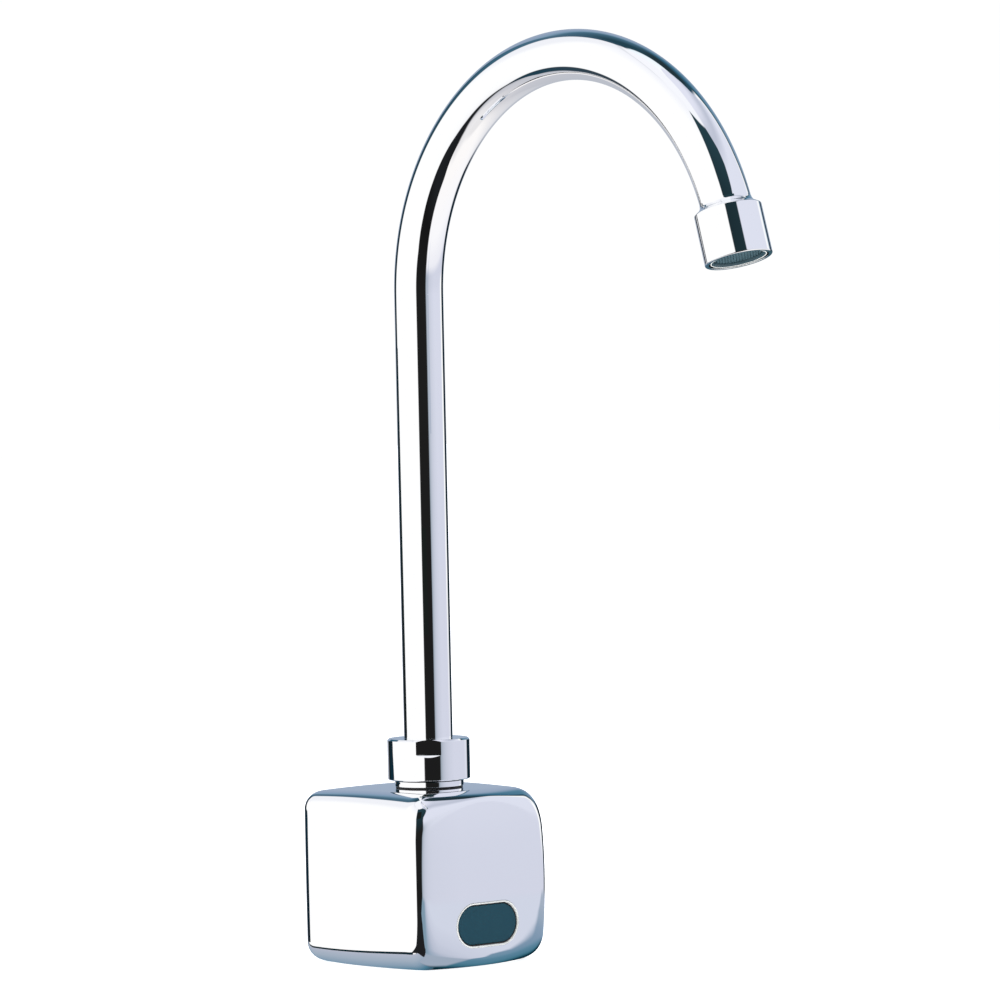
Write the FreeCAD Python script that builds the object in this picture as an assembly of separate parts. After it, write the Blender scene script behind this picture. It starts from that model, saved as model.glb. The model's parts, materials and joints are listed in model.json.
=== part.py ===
import FreeCAD, Part
import math
import os

from FreeCAD import Vector, Placement, Rotation

# Deck mounted sensor tap with a swivelling gooseneck spout.
# Millimetres. +Z up, front (sensor side) towards -Y.
# Origin: on the deck face, on the swivel axis of the spout.

# ---------------------------------------------------------------- dimensions
# body casting: crowned cube with softly rounded edges
BODY_HALF_W = 28.482        # half width at mid height
BODY_FRONT = 27.76          # swivel axis to front face
BODY_BACK = 32.027          # swivel axis to back face
BODY_H = 57.825             # height before the flat underside is cut
BODY_CUT = 1.023            # depth of the flat machined on the domed underside
ROUND_BACK = 6.238          # extent of the edge rounding at the back
ROUND_FRONT_X = 7.209       # the same on the front face, along X, at mid height
ROUND_FRONT_Y = 4.084       # and on the side faces, along Y
GROW_X, GROW_Y = 3.536, 4.717   # how much those two grow towards the top and bottom
ROUND_TOP = 3.14            # rounding below the top, at the middle of the front
ROUND_BOTTOM = 3.002        # rounding above the bottom, at the middle of the front
GROW_CORNER = 11.594        # how much the top rounding grows towards the sides
CROWN_SIDE = 0.194
CROWN_FRONT_X, CROWN_FRONT_Z = 4.766, 1.782
CROWN_TOP = 1.206
CROWN_BOTTOM = 2.112
ROUND_POWER = 3.166         # superelliptic section of the upright edges
ROUND_POWER_Z = 2.275       # and of the top and bottom edges
INSIDE_HALF_W, INSIDE_FRONT, INSIDE_BACK = 25.4, 23.902, 28.9   # the casting's cavity
ROOF = 3.5                  # casting roof
FLOOR_Z = 6.5               # inside floor of the casting
BODY_TOP = BODY_H - BODY_CUT

# base
BASE_CY = 2.8
PLATE_HX, PLATE_HY, PLATE_R = 17.8, 19.8, 4.8
SEAL_T = 1.5
PLATE_T = 3.0
BASE_SCREW_X, BASE_SCREW_Y = 14.4, 16.4
STUD_X, STUD_Y = 13.0, -5.0
STUD_R = 2.5                # tapping size for M6
GLAND_Y = -8.3
CABLE_R = 2.0

# inlet and solenoid valve
VALVE_Y = 8.0
INLET_R = 7.475             # minor radius of a G 3/8 female thread
INLET_LEN = 11.5
BODY_Z0, BODY_Z1 = 12.65, 22.5
DIAPHRAGM_T = 1.0
DIAPHRAGM_LIFT = 1.5
PLUNGER_LIFT = 2.0
PLUNGER_R = 4.06
RISER_Y = -5.0
RISER_R = 3.5

# spout foot
NECK_R = 11.2
COLLAR_R = 13.39
COLLAR_Z0, COLLAR_Z1 = 59.26, 72.62
FLAT_D = 12.757             # axis to each of the two spanner flats on the collar
FLAT_Z = 67.7               # foot of the flats
FLAT_TURN = -41.3           # way one of them faces, in degrees from the front
HUB_THREAD_R = 11.5
HUB_LOWER_R = 10.6
HUB_BORE_R = 8.0
STEM_R = 7.9
SOCKET_R = 9.6

# gooseneck
TUBE_R = 7.9375             # 5/8 inch tube
TUBE_IN_R = 6.7
TUBE_Z0 = 61.5
ARC_Z = 215.944
ARC_R = 73.295
ARC_DEG = 163.94
TUBE_END = 2.0              # straight end of the tube past the arc

# outlet
OUTLET_R = 10.5
OUTLET_T0, OUTLET_T1 = -1.85, 13.9
OUTLET_BORE_R = 9.3

# sensor
WINDOW_W, WINDOW_H, WINDOW_Z = 25.5, 13.2, 13.75

os.makedirs("parts", exist_ok=True)


# ---------------------------------------------------------------- helpers
def cyl(r, z0, z1, x=0.0, y=0.0):
    return Part.makeCylinder(r, z1 - z0, Vector(x, y, z0))


def ring(ro, ri, z0, z1, x=0.0, y=0.0):
    return cyl(ro, z0, z1, x, y).cut(cyl(ri, z0 - 1, z1 + 1, x, y))


def ycyl(r, y0, y1, x, z):
    return Part.makeCylinder(r, y1 - y0, Vector(x, y0, z), Vector(0, 1, 0))


def box(x0, x1, y0, y1, z0, z1):
    return Part.makeBox(x1 - x0, y1 - y0, z1 - z0, Vector(x0, y0, z0))


def torus(rc, rm, z, x=0.0, y=0.0):
    return Part.makeTorus(rc, rm, Vector(x, y, z), Vector(0, 0, 1))


def fuse(*shapes):
    s = shapes[0]
    for t in shapes[1:]:
        s = s.fuse(t)
    return s.removeSplitter()


def cut(s, *tools):
    for t in tools:
        s = s.cut(t)
    return s


def revolve(points, x=0.0, y=0.0):
    """Solid of revolution about a vertical axis from (r, z) points."""
    vs = [Vector(r, 0, z) for r, z in points]
    w = Part.makePolygon(vs + [vs[0]])
    s = Part.Face(w).revolve(Vector(0, 0, 0), Vector(0, 0, 1), 360)
    s.translate(Vector(x, y, 0))
    return s


def prism(n, r_flat, z0, z1, x=0.0, y=0.0, turn=0.0):
    """Regular prism with n sides, r_flat to each flat."""
    rc = r_flat / math.cos(math.pi / n)
    vs = [Vector(x + rc * math.cos(2 * math.pi * k / n + turn),
                 y + rc * math.sin(2 * math.pi * k / n + turn), z0) for k in range(n)]
    return Part.Face(Part.makePolygon(vs + [vs[0]])).extrude(Vector(0, 0, z1 - z0))


def rrect(hx, hy, r, z0, z1, cx=0.0, cy=0.0):
    """Upright block with rounded vertical edges."""
    s = box(cx - hx, cx + hx, cy - hy, cy + hy, z0, z1)
    es = [e for e in s.Edges if abs(e.Vertexes[0].Z - e.Vertexes[-1].Z) > 1e-6]
    return s.makeFillet(r, es)


def stadium_wire(w, h, y, cx=0.0, cz=0.0):
    """Horizontal stadium in the plane Y = y, w wide and h high."""
    r = h / 2.0
    a = w / 2.0 - r
    p1, p2 = Vector(cx - a, y, cz + r), Vector(cx + a, y, cz + r)
    p3, p4 = Vector(cx + a, y, cz - r), Vector(cx - a, y, cz - r)
    m1, m2 = Vector(cx + a + r, y, cz), Vector(cx - a - r, y, cz)
    return Part.Wire([Part.makeLine(p1, p2), Part.Arc(p2, m1, p3).toShape(),
                      Part.makeLine(p3, p4), Part.Arc(p4, m2, p1).toShape()])


def stadium(w, h, y0, y1, cx=0.0, cz=0.0):
    return Part.Face(stadium_wire(w, h, y0, cx, cz)).extrude(Vector(0, y1 - y0, 0))


def screw(x, y, z_head, z_tip, r, r_head, h_head, up):
    """Screw with a socket in its head. up: +1 tip above the head, -1 below."""
    z0, z1 = (z_head, z_head + up * h_head)
    head = cyl(r_head, min(z0, z1), max(z0, z1), x, y)
    shank = cyl(r, min(z1, z_tip), max(z1, z_tip), x, y)
    s = head.fuse(shank)
    d = h_head * 0.55
    sock = prism(6, r_head * 0.42, z_head if up > 0 else z_head - d,
                 z_head + d if up > 0 else z_head, x, y)
    return s.cut(sock).removeSplitter()


NODES = {}


def put(name, shape):
    if len(shape.Solids) == 1:
        shape = shape.Solids[0]
    NODES[name] = shape


# ---------------------------------------------------------------- body casting
def rounded(x, y, z, q):
    """Negative inside the crowned, edge-rounded block q."""
    h = (q["H"] - q["Z0"]) / 2.0
    zz = (z - q["Z0"] - h) / h
    xx = x / q["a"]
    ym = (q["yb"] - q["yf"]) / 2.0
    yh = (q["yb"] + q["yf"]) / 2.0
    yy = (y - ym) / yh
    s = min(1.0, max(0.0, (q["yb"] - y) / (2.0 * yh)))
    s = s * s * (3 - 2 * s)
    zq, xq = min(zz * zz, 1.2), min(xx * xx, 1.2)
    rb = q["rb"]
    rx = rb + (q["rx"] + q["rxz"] * zq - rb) * s
    rt = rb + (q["rt"] + q["rtx"] * xq - rb) * s
    rd = rb + (q["rd"] + q["rtx"] * xq * 0.5 - rb) * s
    gx = abs(x) - (q["a"] - q["kx"] * zz * zz)
    if y < 0:
        gy, ry = -y - (q["yf"] - (q["kyx"] * xx * xx + q["kyz"] * zz * zz) / 2.0), q["ry"] + q["ryz"] * zq
    else:
        gy, ry = y - q["yb"], rb
    gt = z - (q["H"] - q["kt"] * (xx * xx + yy * yy) / 2.0)
    gd = q["Z0"] + q["kd"] * (xx * xx + yy * yy) / 2.0 - z
    upright = max(0.0, (gx + rx) / rx) ** q["p"] + max(0.0, (gy + ry) / ry) ** q["p"]
    return (upright ** (q["pz"] / q["p"]) + max(0.0, (gt + rt) / rt) ** q["pz"]
            + max(0.0, (gd + rd) / rd) ** q["pz"] - 1.0)


def level_radius(q, z, a):
    """Radius of the level section at height z in direction a."""
    yc = (q["yb"] - q["yf"]) / 2.0
    ca, sa = math.cos(a), math.sin(a)
    lo, hi = 0.0, 70.0
    for _ in range(44):
        m = (lo + hi) / 2.0
        if rounded(m * ca, yc + m * sa, z, q) < 0:
            lo = m
        else:
            hi = m
    return lo


def levels(q, z0, z1, m):
    """Heights spaced evenly along the profile, so the sections close up at both ends."""
    n = 600
    zs = [z0 + (z1 - z0) * (0.5 - 0.5 * math.cos(math.pi * i / n)) for i in range(n + 1)]
    rs = [[level_radius(q, z, a) for a in (0.0, -math.pi / 4, math.pi / 4, math.pi / 2)] for z in zs]
    run = [0.0]
    for i in range(1, n + 1):
        run.append(run[-1] + sum(math.hypot(rs[i][j] - rs[i - 1][j], zs[i] - zs[i - 1]) for j in range(4)) / 4.0)
    out = []
    for k in range(m + 1):
        t = run[-1] * k / m
        out.append(zs[min(range(n + 1), key=lambda i: abs(run[i] - t))])
    out[0], out[-1] = z0, z1
    return out


def rounded_solid(q, z0, z1, m, n):
    """Loft through level sections of the rounded block."""
    yc = (q["yb"] - q["yf"]) / 2.0
    wires = []
    for z in levels(q, z0, z1, m):
        pts = []
        for k in range(n):
            a = 2 * math.pi * k / n
            a += 0.12 * math.sin(4 * a)          # closer together at the corners
            r = level_radius(q, z, a)
            pts.append(Vector(r * math.cos(a), yc + r * math.sin(a), z))
        c = Part.BSplineCurve()
        c.interpolate(Points=pts, PeriodicFlag=True,
                      Parameters=[float(i) / n for i in range(n + 1)])
        wires.append(Part.Wire([c.toShape(k * 0.25, (k + 1) * 0.25) for k in range(4)]))
    return Part.makeLoft(wires, True, True)


OUTER = dict(a=BODY_HALF_W, yf=BODY_FRONT, yb=BODY_BACK, H=BODY_H - BODY_CUT, Z0=-BODY_CUT,
             rb=ROUND_BACK, rx=ROUND_FRONT_X, ry=ROUND_FRONT_Y, rxz=GROW_X, ryz=GROW_Y,
             rt=ROUND_TOP, rd=ROUND_BOTTOM, rtx=GROW_CORNER, kx=CROWN_SIDE, kyx=CROWN_FRONT_X,
             kyz=CROWN_FRONT_Z, kt=CROWN_TOP, kd=CROWN_BOTTOM, p=ROUND_POWER, pz=ROUND_POWER_Z)
INNER = dict(a=INSIDE_HALF_W, yf=INSIDE_FRONT, yb=INSIDE_BACK, H=BODY_TOP - ROOF + 0.25, Z0=FLOOR_Z - 0.25,
             rb=4.0, rx=7.5, ry=3.6, rxz=0.0, ryz=0.0, rt=12.0, rd=6.0, rtx=0.0,
             kx=0.6, kyx=2.4, kyz=2.4, kt=0.0, kd=0.0, p=2.4, pz=2.4)

outer = rounded_solid(OUTER, 0.0, BODY_TOP - 0.1, 30, 64)
inner = rounded_solid(INNER, FLOOR_Z, BODY_TOP - ROOF, 20, 40)

bosses = []
for sx in (-1, 1):
    for sy in (-1, 1):
        bosses.append(cyl(3.1, 5.0, 10.5, sx * BASE_SCREW_X, BASE_CY + sy * BASE_SCREW_Y))
    bosses.append(ycyl(2.6, -25.5, -15.9, sx * 18.2, WINDOW_Z))
boss_cuts = []
for sx in (-1, 1):
    for sy in (-1, 1):
        boss_cuts.append(cyl(1.3, 3.5, 9.7, sx * BASE_SCREW_X, BASE_CY + sy * BASE_SCREW_Y))
    boss_cuts.append(ycyl(1.05, -23.0, -15.0, sx * 18.2, WINDOW_Z))

rabbet_t = SEAL_T + PLATE_T
rabbet = rrect(PLATE_HX + 0.15, PLATE_HY + 0.15, PLATE_R, -1, rabbet_t, 0, BASE_CY)
access = rrect(PLATE_HX - 3.4, PLATE_HY - 3.4, 3.6, rabbet_t - 1, FLOOR_Z + 1, 0, BASE_CY)
stud_relief = fuse(*[cyl(4.6, rabbet_t - 1, 12.0, sx * STUD_X, STUD_Y) for sx in (-1, 1)])
sensor_pocket = box(-14.6, 14.6, -22.6, -17.6, FLOOR_Z + 0.1, 21.3)
flange_pocket = stadium(WINDOW_W + 2.0, WINDOW_H + 2.0, -23.4, -22.3, 0, WINDOW_Z)
hub_bore = cyl(HUB_LOWER_R + 0.05, 50, 60)
spot = cyl(NECK_R - 0.15, BODY_TOP - 0.22, 60)
win_hole = stadium(WINDOW_W, WINDOW_H, -40, -15, 0, WINDOW_Z)
win_chamfer = Part.makeLoft([stadium_wire(WINDOW_W + 3.6, WINDOW_H + 3.6, -29.1, 0, WINDOW_Z),
                             stadium_wire(WINDOW_W, WINDOW_H, -26.8, 0, WINDOW_Z)], True, True)

shell = outer.cut(inner)
shell = fuse(shell, *[b.common(outer) for b in bosses])
shell = cut(shell, rabbet, access.cut(fuse(bosses[0], bosses[1], bosses[3], bosses[4])),
            stud_relief, sensor_pocket, flange_pocket, hub_bore, spot, win_hole, win_chamfer, *boss_cuts)
put("body_shell", shell)

# ---------------------------------------------------------------- base
z_pl = SEAL_T
stud_holes = [cyl(STUD_R, -1, 30, sx * STUD_X, STUD_Y) for sx in (-1, 1)]
plate = rrect(PLATE_HX, PLATE_HY, PLATE_R, z_pl, z_pl + PLATE_T - 0.05, 0, BASE_CY)
plate = fuse(plate, *[cyl(4.3, z_pl, 11.5, sx * STUD_X, STUD_Y) for sx in (-1, 1)])
plate = cut(plate, cyl(9.35, -1, 8, 0, VALVE_Y), cyl(4.05, -1, 8, 0, GLAND_Y), *stud_holes)
for sx in (-1, 1):
    for sy in (-1, 1):
        x, y = sx * BASE_SCREW_X, BASE_CY + sy * BASE_SCREW_Y
        plate = cut(plate, cyl(1.4, 0, 6, x, y), cyl(2.35, 0, z_pl + 1.8, x, y))
put("base_plate", plate)

seal = rrect(PLATE_HX, PLATE_HY, PLATE_R, 0, SEAL_T, 0, BASE_CY)
seal = cut(seal, cyl(9.5, -1, 3, 0, VALVE_Y), cyl(4.3, -1, 3, 0, GLAND_Y),
           *[cyl(3.2, -1, 3, sx * STUD_X, STUD_Y) for sx in (-1, 1)])
put("deck_seal", seal)

screws = [screw(sx * BASE_SCREW_X, BASE_CY + sy * BASE_SCREW_Y, z_pl + 0.15, 9.3, 1.25, 2.2, 1.6, 1)
          for sx in (-1, 1) for sy in (-1, 1)]
put("base_plate_screws", Part.makeCompound(screws))

gland = fuse(cyl(4.0, 0.2, 9.0, 0, GLAND_Y), cyl(4.9, z_pl + PLATE_T, 6.4, 0, GLAND_Y),
             Part.makeCone(4.0, 3.0, 2.0, Vector(0, GLAND_Y, 9.0)))
put("cable_gland", cut(gland, cyl(CABLE_R, -1, 12, 0, GLAND_Y)))

# ---------------------------------------------------------------- inlet
fit_top = 16.0
fitting = revolve([(INLET_R, 0.0), (9.1, 0.0), (9.3, 0.2), (9.3, 4.5), (10.2, 4.5), (10.2, 7.4),
                   (9.0, 7.4), (9.0, BODY_Z0 - 0.05), (7.2, BODY_Z0 - 0.05), (7.2, 13.5), (5.95, 13.5),
                   (5.95, 15.1), (7.2, 15.1), (7.2, 15.7), (6.9, fit_top), (4.2, fit_top), (4.2, 12.9),
                   (6.9, 12.9), (6.9, INLET_LEN), (INLET_R, INLET_LEN)], 0, VALVE_Y)
hexr = cut(prism(6, 10.9, 4.5, 7.4, 0, VALVE_Y), cyl(9.6, 4, 8, 0, VALVE_Y))
put("inlet_fitting", fuse(fitting, hexr))

strainer = ring(6.85, 5.9, INLET_LEN, 12.85, 0, VALVE_Y).fuse(cyl(6.3, 12.0, 12.35, 0, VALVE_Y))
holes = []
for i in range(-4, 5):
    for j in range(-4, 5):
        if math.hypot(i, j) * 1.25 < 5.3:
            holes.append(box(i * 1.25 - 0.4, i * 1.25 + 0.4, VALVE_Y + j * 1.25 - 0.4,
                             VALVE_Y + j * 1.25 + 0.4, 11.8, 12.6))
put("inlet_strainer", strainer.cut(Part.makeCompound(holes)).removeSplitter())
put("fitting_o_ring", torus(6.57, 0.62, 14.3, 0, VALVE_Y))

# ---------------------------------------------------------------- solenoid valve
EARS = [(sx * 8.4, VALVE_Y + sy * 8.4) for sx in (-1, 1) for sy in (-1, 1)]
vb = fuse(cyl(12.0, BODY_Z0, BODY_Z1, 0, VALVE_Y), box(-5.5, 5.5, -5.0, 4, BODY_Z0, BODY_Z1),
          cyl(5.6, BODY_Z0, BODY_Z1, 0, RISER_Y), *[cyl(2.5, BODY_Z0, BODY_Z1, x, y) for x, y in EARS])
seat = fuse(cyl(4.6, 15.0, 25.0, 0, VALVE_Y), box(-3.4, 3.4, -6, VALVE_Y, 15.0, 21.9))
chamber = cyl(7.4, 16.2, BODY_Z1 + 1, 0, VALVE_Y).cut(seat)
vb = cut(vb, chamber, cyl(7.25, BODY_Z0 - 1, 17.0, 0, VALVE_Y))
vb = cut(vb, cyl(3.2, 18.2, BODY_Z1 + 1, 0, VALVE_Y), cyl(2.5, 17.7, 23, 0, RISER_Y),
         ycyl(1.9, RISER_Y + 0.2, VALVE_Y - 0.2, 0, 19.6))
vb = cut(vb, cyl(RISER_R + 0.05, 19.7, 23, 0, RISER_Y), cyl(4.45, 21.45, 23, 0, RISER_Y))
vb = cut(vb, *[cyl(1.15, 14.5, 23, x, y) for x, y in EARS])
put("valve_body", vb)

z_d = BODY_Z1 + DIAPHRAGM_T
diaphragm = ring(9.3, 3.0, BODY_Z1, z_d, 0, VALVE_Y)
put("valve_diaphragm", diaphragm)

hub = fuse(cyl(6.8, z_d + 0.05, 24.7, 0, VALVE_Y), cyl(2.9, 20.8, z_d + 0.05, 0, VALVE_Y))
hub = cut(hub, cyl(0.5, 20, 25, 0, VALVE_Y),
          *[cyl(0.9, 20, z_d - 0.9, 2.9 * math.cos(a), VALVE_Y + 2.9 * math.sin(a))
            for a in (math.pi / 6, 5 * math.pi / 6, 3 * math.pi / 2)])
put("diaphragm_hub", hub)

bon = fuse(cyl(12.0, z_d, 29.0, 0, VALVE_Y), *[cyl(2.5, z_d, 27.5, x, y) for x, y in EARS])
bon = cut(bon, cyl(7.4, z_d - 1, 27.2, 0, VALVE_Y), cyl(4.65, 27, 30, 0, VALVE_Y),
          cyl(RISER_R + 0.6, z_d - 1, 30, 0, RISER_Y),
          *[cyl(1.35, z_d - 1, 30, x, y) for x, y in EARS],
          *[cyl(2.45, 27.5, 30, x, y) for x, y in EARS])
put("valve_bonnet", bon)
put("bonnet_screws", Part.makeCompound(
    [screw(x, y, 28.95, 15.2, 1.1, 2.1, 1.45, -1) for x, y in EARS]))

tube = fuse(cyl(4.6, 27.2, 41.6, 0, VALVE_Y), cyl(6.2, 29.0, 29.8, 0, VALVE_Y))
put("plunger_tube", tube.cut(cyl(4.15, 26, 43, 0, VALVE_Y)))
core = fuse(cyl(4.1, 37.5, 41.6, 0, VALVE_Y), cyl(1.9, 41.6, 43.7, 0, VALVE_Y))
put("plunger_core", core)

pl0, pl1 = 25.8, 35.3
plunger = cut(cyl(PLUNGER_R, pl0, pl1, 0, VALVE_Y), cyl(2.3, 30.0, pl1 + 1, 0, VALVE_Y),
              cyl(1.5, pl0 - 1, pl0 + 1.0, 0, VALVE_Y),
              box(PLUNGER_R - 0.7, 6, VALVE_Y - 0.6, VALVE_Y + 0.6, pl0 - 1, pl1 + 1),
              box(-6, -PLUNGER_R + 0.7, VALVE_Y - 0.6, VALVE_Y + 0.6, pl0 - 1, pl1 + 1))
put("plunger", plunger)
put("plunger_seal", cyl(1.48, 24.7, pl0 + 0.95, 0, VALVE_Y))

# return spring, closed between the plunger's pocket and the core
pitch, sr, wr, turns = 1.5, 1.75, 0.24, 4.6
pts = []
for k in range(int(turns * 16) + 1):
    a = 2 * math.pi * k / 16
    pts.append(Vector(sr * math.cos(a), VALVE_Y + sr * math.sin(a), 30.3 + pitch * k / 16))
line = Part.BSplineCurve()
line.interpolate(pts)
t = line.tangent(line.FirstParameter)[0]
prof = Part.Wire(Part.makeCircle(wr, pts[0], t))
spring = Part.Wire(line.toShape()).makePipeShell([prof], True, True)
put("plunger_spring", spring)

bob = fuse(cyl(8.7, 29.95, 30.9, 0, VALVE_Y), cyl(8.7, 39.6, 40.55, 0, VALVE_Y),
           cyl(5.4, 29.95, 40.55, 0, VALVE_Y))
put("coil_bobbin", bob.cut(cyl(4.68, 29, 42, 0, VALVE_Y)))
put("coil_winding", ring(8.2, 5.45, 30.95, 39.55, 0, VALVE_Y))
fr = fuse(box(-7.5, 7.5, -0.9, 18.0, 40.6, 41.55), box(-7.5, 7.5, 16.9, 18.0, 29.05, 41.55),
          box(-7.5, 7.5, 0.5, 18.0, 29.05, 29.9))
put("coil_frame", cut(fr, cyl(6.3, 28, 30.5, 0, VALVE_Y), cyl(4.7, 40, 42, 0, VALVE_Y)))
put("coil_nut", cut(prism(6, 3.6, 41.65, 43.5, 0, VALVE_Y), cyl(1.95, 41, 44, 0, VALVE_Y)))

put("riser_tube", ring(RISER_R, 2.6, 19.75, 46.9, 0, RISER_Y))
put("riser_o_rings", Part.makeCompound([torus(3.97, 0.46, 21.95, 0, RISER_Y),
                                        torus(3.97, 0.46, 45.05, 0, RISER_Y)]))

# ---------------------------------------------------------------- spout foot
hub_top = 69.0
hub = revolve([(HUB_BORE_R, 47.0), (0.0, 47.0), (0.0, 44.5), (HUB_LOWER_R, 44.5),
               (HUB_LOWER_R, BODY_TOP + 0.35), (NECK_R, BODY_TOP + 0.35), (NECK_R, COLLAR_Z0 - 0.45),
               (NECK_R - 0.3, COLLAR_Z0 - 0.15), (NECK_R - 0.3, COLLAR_Z0 + 0.6), (HUB_THREAD_R, COLLAR_Z0 + 1.3),
               (HUB_THREAD_R, hub_top - 0.4), (HUB_THREAD_R - 0.4, hub_top), (SOCKET_R + 0.1, hub_top),
               (SOCKET_R + 0.1, 59.8), (HUB_BORE_R, 59.8)])
hub = cut(hub, cyl(RISER_R + 0.05, 44, 48, 0, RISER_Y), cyl(4.45, 44, 45.55, 0, RISER_Y))
put("spout_hub", hub)
put("hub_seal", ring(NECK_R - 0.35, HUB_LOWER_R + 0.05, BODY_TOP - 0.22, BODY_TOP + 0.35))
put("hub_lock_nut", cut(prism(6, 13.2, 48.4, 53.2), cyl(HUB_LOWER_R + 0.05, 48, 54)))

nut = revolve([(HUB_THREAD_R + 0.05, COLLAR_Z0), (COLLAR_R - 0.35, COLLAR_Z0), (COLLAR_R, COLLAR_Z0 + 0.35),
               (COLLAR_R, COLLAR_Z1 - 0.55), (COLLAR_R - 0.55, COLLAR_Z1), (TUBE_R + 0.09, COLLAR_Z1),
               (TUBE_R + 0.09, 70.02), (HUB_THREAD_R + 0.05, 70.02)])


def flat_tool(turn):
    """Wedge outside one flat of the collar, with a sloping run-out at its foot."""
    u = Vector(math.sin(math.radians(turn)), -math.cos(math.radians(turn)), 0)
    t = Vector(-u.y, u.x, 0)
    prof = [(FLAT_D, COLLAR_Z1 + 1.4), (FLAT_D, FLAT_Z), (FLAT_D + 3.24, FLAT_Z - 3.86), (FLAT_D + 3.24, COLLAR_Z1 + 1.4)]
    vs = [u * d - t * 10 + Vector(0, 0, z) for d, z in prof]
    return Part.Face(Part.makePolygon(vs + [vs[0]])).extrude(t * 20)


put("collar_nut", cut(nut, flat_tool(FLAT_TURN), flat_tool(FLAT_TURN + 180)))
put("swivel_washer", ring(HUB_THREAD_R - 0.05, TUBE_R + 0.35, hub_top, 70.0))

stem = revolve([(5.5, 47.4), (STEM_R - 0.5, 47.4), (STEM_R, 47.9), (STEM_R, 50.0), (6.3, 50.0), (6.3, 51.9),
                (STEM_R, 51.9), (STEM_R, 54.5), (6.3, 54.5), (6.3, 56.4), (STEM_R, 56.4), (STEM_R, 59.9),
                (SOCKET_R, 59.9), (SOCKET_R, 68.9), (TUBE_R + 0.02, 68.9), (TUBE_R + 0.02, TUBE_Z0),
                (5.5, TUBE_Z0)])
put("spout_stem", stem)
put("stem_o_rings", Part.makeCompound([torus(7.13, 0.8, 50.95), torus(7.13, 0.8, 55.45)]))


# ---------------------------------------------------------------- gooseneck
def neck(r, z0, extra):
    """Upright run, arc and short straight end of radius r."""
    up = cyl(r, z0, ARC_Z)
    disc = Part.Face(Part.Wire(Part.makeCircle(r, Vector(0, 0, ARC_Z))))
    arc = disc.revolve(Vector(0, -ARC_R, ARC_Z), Vector(1, 0, 0), ARC_DEG)
    end = Part.makeCylinder(r, extra, END, DIR)
    return up.fuse(arc).fuse(end).removeSplitter()


A = math.radians(ARC_DEG)
END = Vector(0, -ARC_R + ARC_R * math.cos(A), ARC_Z + ARC_R * math.sin(A))
DIR = Vector(0, -math.sin(A), math.cos(A))
tube_solid = neck(TUBE_R, TUBE_Z0, TUBE_END)
put("spout_tube", tube_solid.cut(neck(TUBE_IN_R, TUBE_Z0 - 1, TUBE_END + 1)))


def at_outlet(s):
    s = s.copy()
    s.Placement = Placement(END, Rotation(Vector(1, 0, 0), ARC_DEG)).multiply(s.Placement)
    return s


# ---------------------------------------------------------------- outlet
T0, T1 = OUTLET_T0, OUTLET_T1
sleeve = revolve([(0.0, T0 - 2.05), (8.02, T0 - 2.05), (8.2, T0 - 1.7), (8.62, T0 - 1.35), (OUTLET_R - 0.25, T0 - 0.25),
                  (OUTLET_R, T0 + 0.15), (OUTLET_R, T1 - 0.4), (OUTLET_R - 0.4, T1), (OUTLET_BORE_R, T1),
                  (OUTLET_BORE_R, 3.2), (6.9, 3.2), (6.9, TUBE_END + 0.03), (0.0, TUBE_END + 0.03)])
sleeve = at_outlet(sleeve)
sleeve = sleeve.cut(neck(TUBE_R + 0.02, TUBE_Z0, TUBE_END + 0.03))
sleeve = sleeve.cut(at_outlet(cyl(6.9, TUBE_END - 0.5, 4)))
put("outlet_collar", sleeve)

put("aerator_washer", at_outlet(ring(9.15, 6.6, 3.25, 4.75)))
shell_a = revolve([(7.55, 4.85), (OUTLET_BORE_R - 0.06, 4.85), (OUTLET_BORE_R - 0.06, 12.3), (8.85, 12.6),
                   (8.85, 13.3), (8.65, 13.55), (8.15, 13.55), (7.95, 13.35), (7.55, 12.95)])
put("aerator_shell", at_outlet(shell_a))
ins = ring(7.5, 6.7, 4.9, 12.15).fuse(cyl(7.0, 6.2, 7.4))
ins_holes = [cyl(0.55, 5, 8, 4.8 * math.cos(k * math.pi / 5), 4.8 * math.sin(k * math.pi / 5)) for k in range(10)]
ins_holes += [cyl(0.55, 5, 8, 2.4 * math.cos(k * math.pi / 3), 2.4 * math.sin(k * math.pi / 3)) for k in range(6)]
put("aerator_insert", at_outlet(ins.cut(Part.makeCompound(ins_holes)).removeSplitter()))
mesh = cyl(7.5, 12.2, 12.7)
grid = []
for i in range(-6, 7):
    for j in range(-6, 7):
        if math.hypot(i, j) * 1.05 < 6.6:
            grid.append(box(i * 1.05 - 0.36, i * 1.05 + 0.36, j * 1.05 - 0.36, j * 1.05 + 0.36, 12, 13))
put("aerator_screen", at_outlet(mesh.cut(Part.makeCompound(grid)).removeSplitter()))

# ---------------------------------------------------------------- sensor
W, H, Z = WINDOW_W, WINDOW_H, WINDOW_Z
gas = stadium(W - 0.1, H - 0.1, -26.95, -23.3, 0, Z).cut(stadium(W - 1.2, H - 1.2, -30, -20, 0, Z))
put("window_gasket", gas)
win = stadium(W - 1.3, H - 1.3, -26.8, -22.4, 0, Z).fuse(stadium(W + 1.6, H + 1.6, -23.2, -22.4, 0, Z))
put("sensor_window", win.removeSplitter())

hx, z0, z1, y0, y1 = 14.3, 6.95, 21.0, -22.3, -12.6


def tub(d):
    """Housing outline shrunk by d, stepped in at the rear lower corners."""
    b = box(-hx + d, hx - d, y0, y1 - d, z0 + d, z1 - d)
    return cut(b, *[box(min(s * (11.0 - d), s * 20), max(s * (11.0 - d), s * 20),
                        -17.0 - d, 0, 0, 11.0 + d) for s in (-1, 1)])


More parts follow.
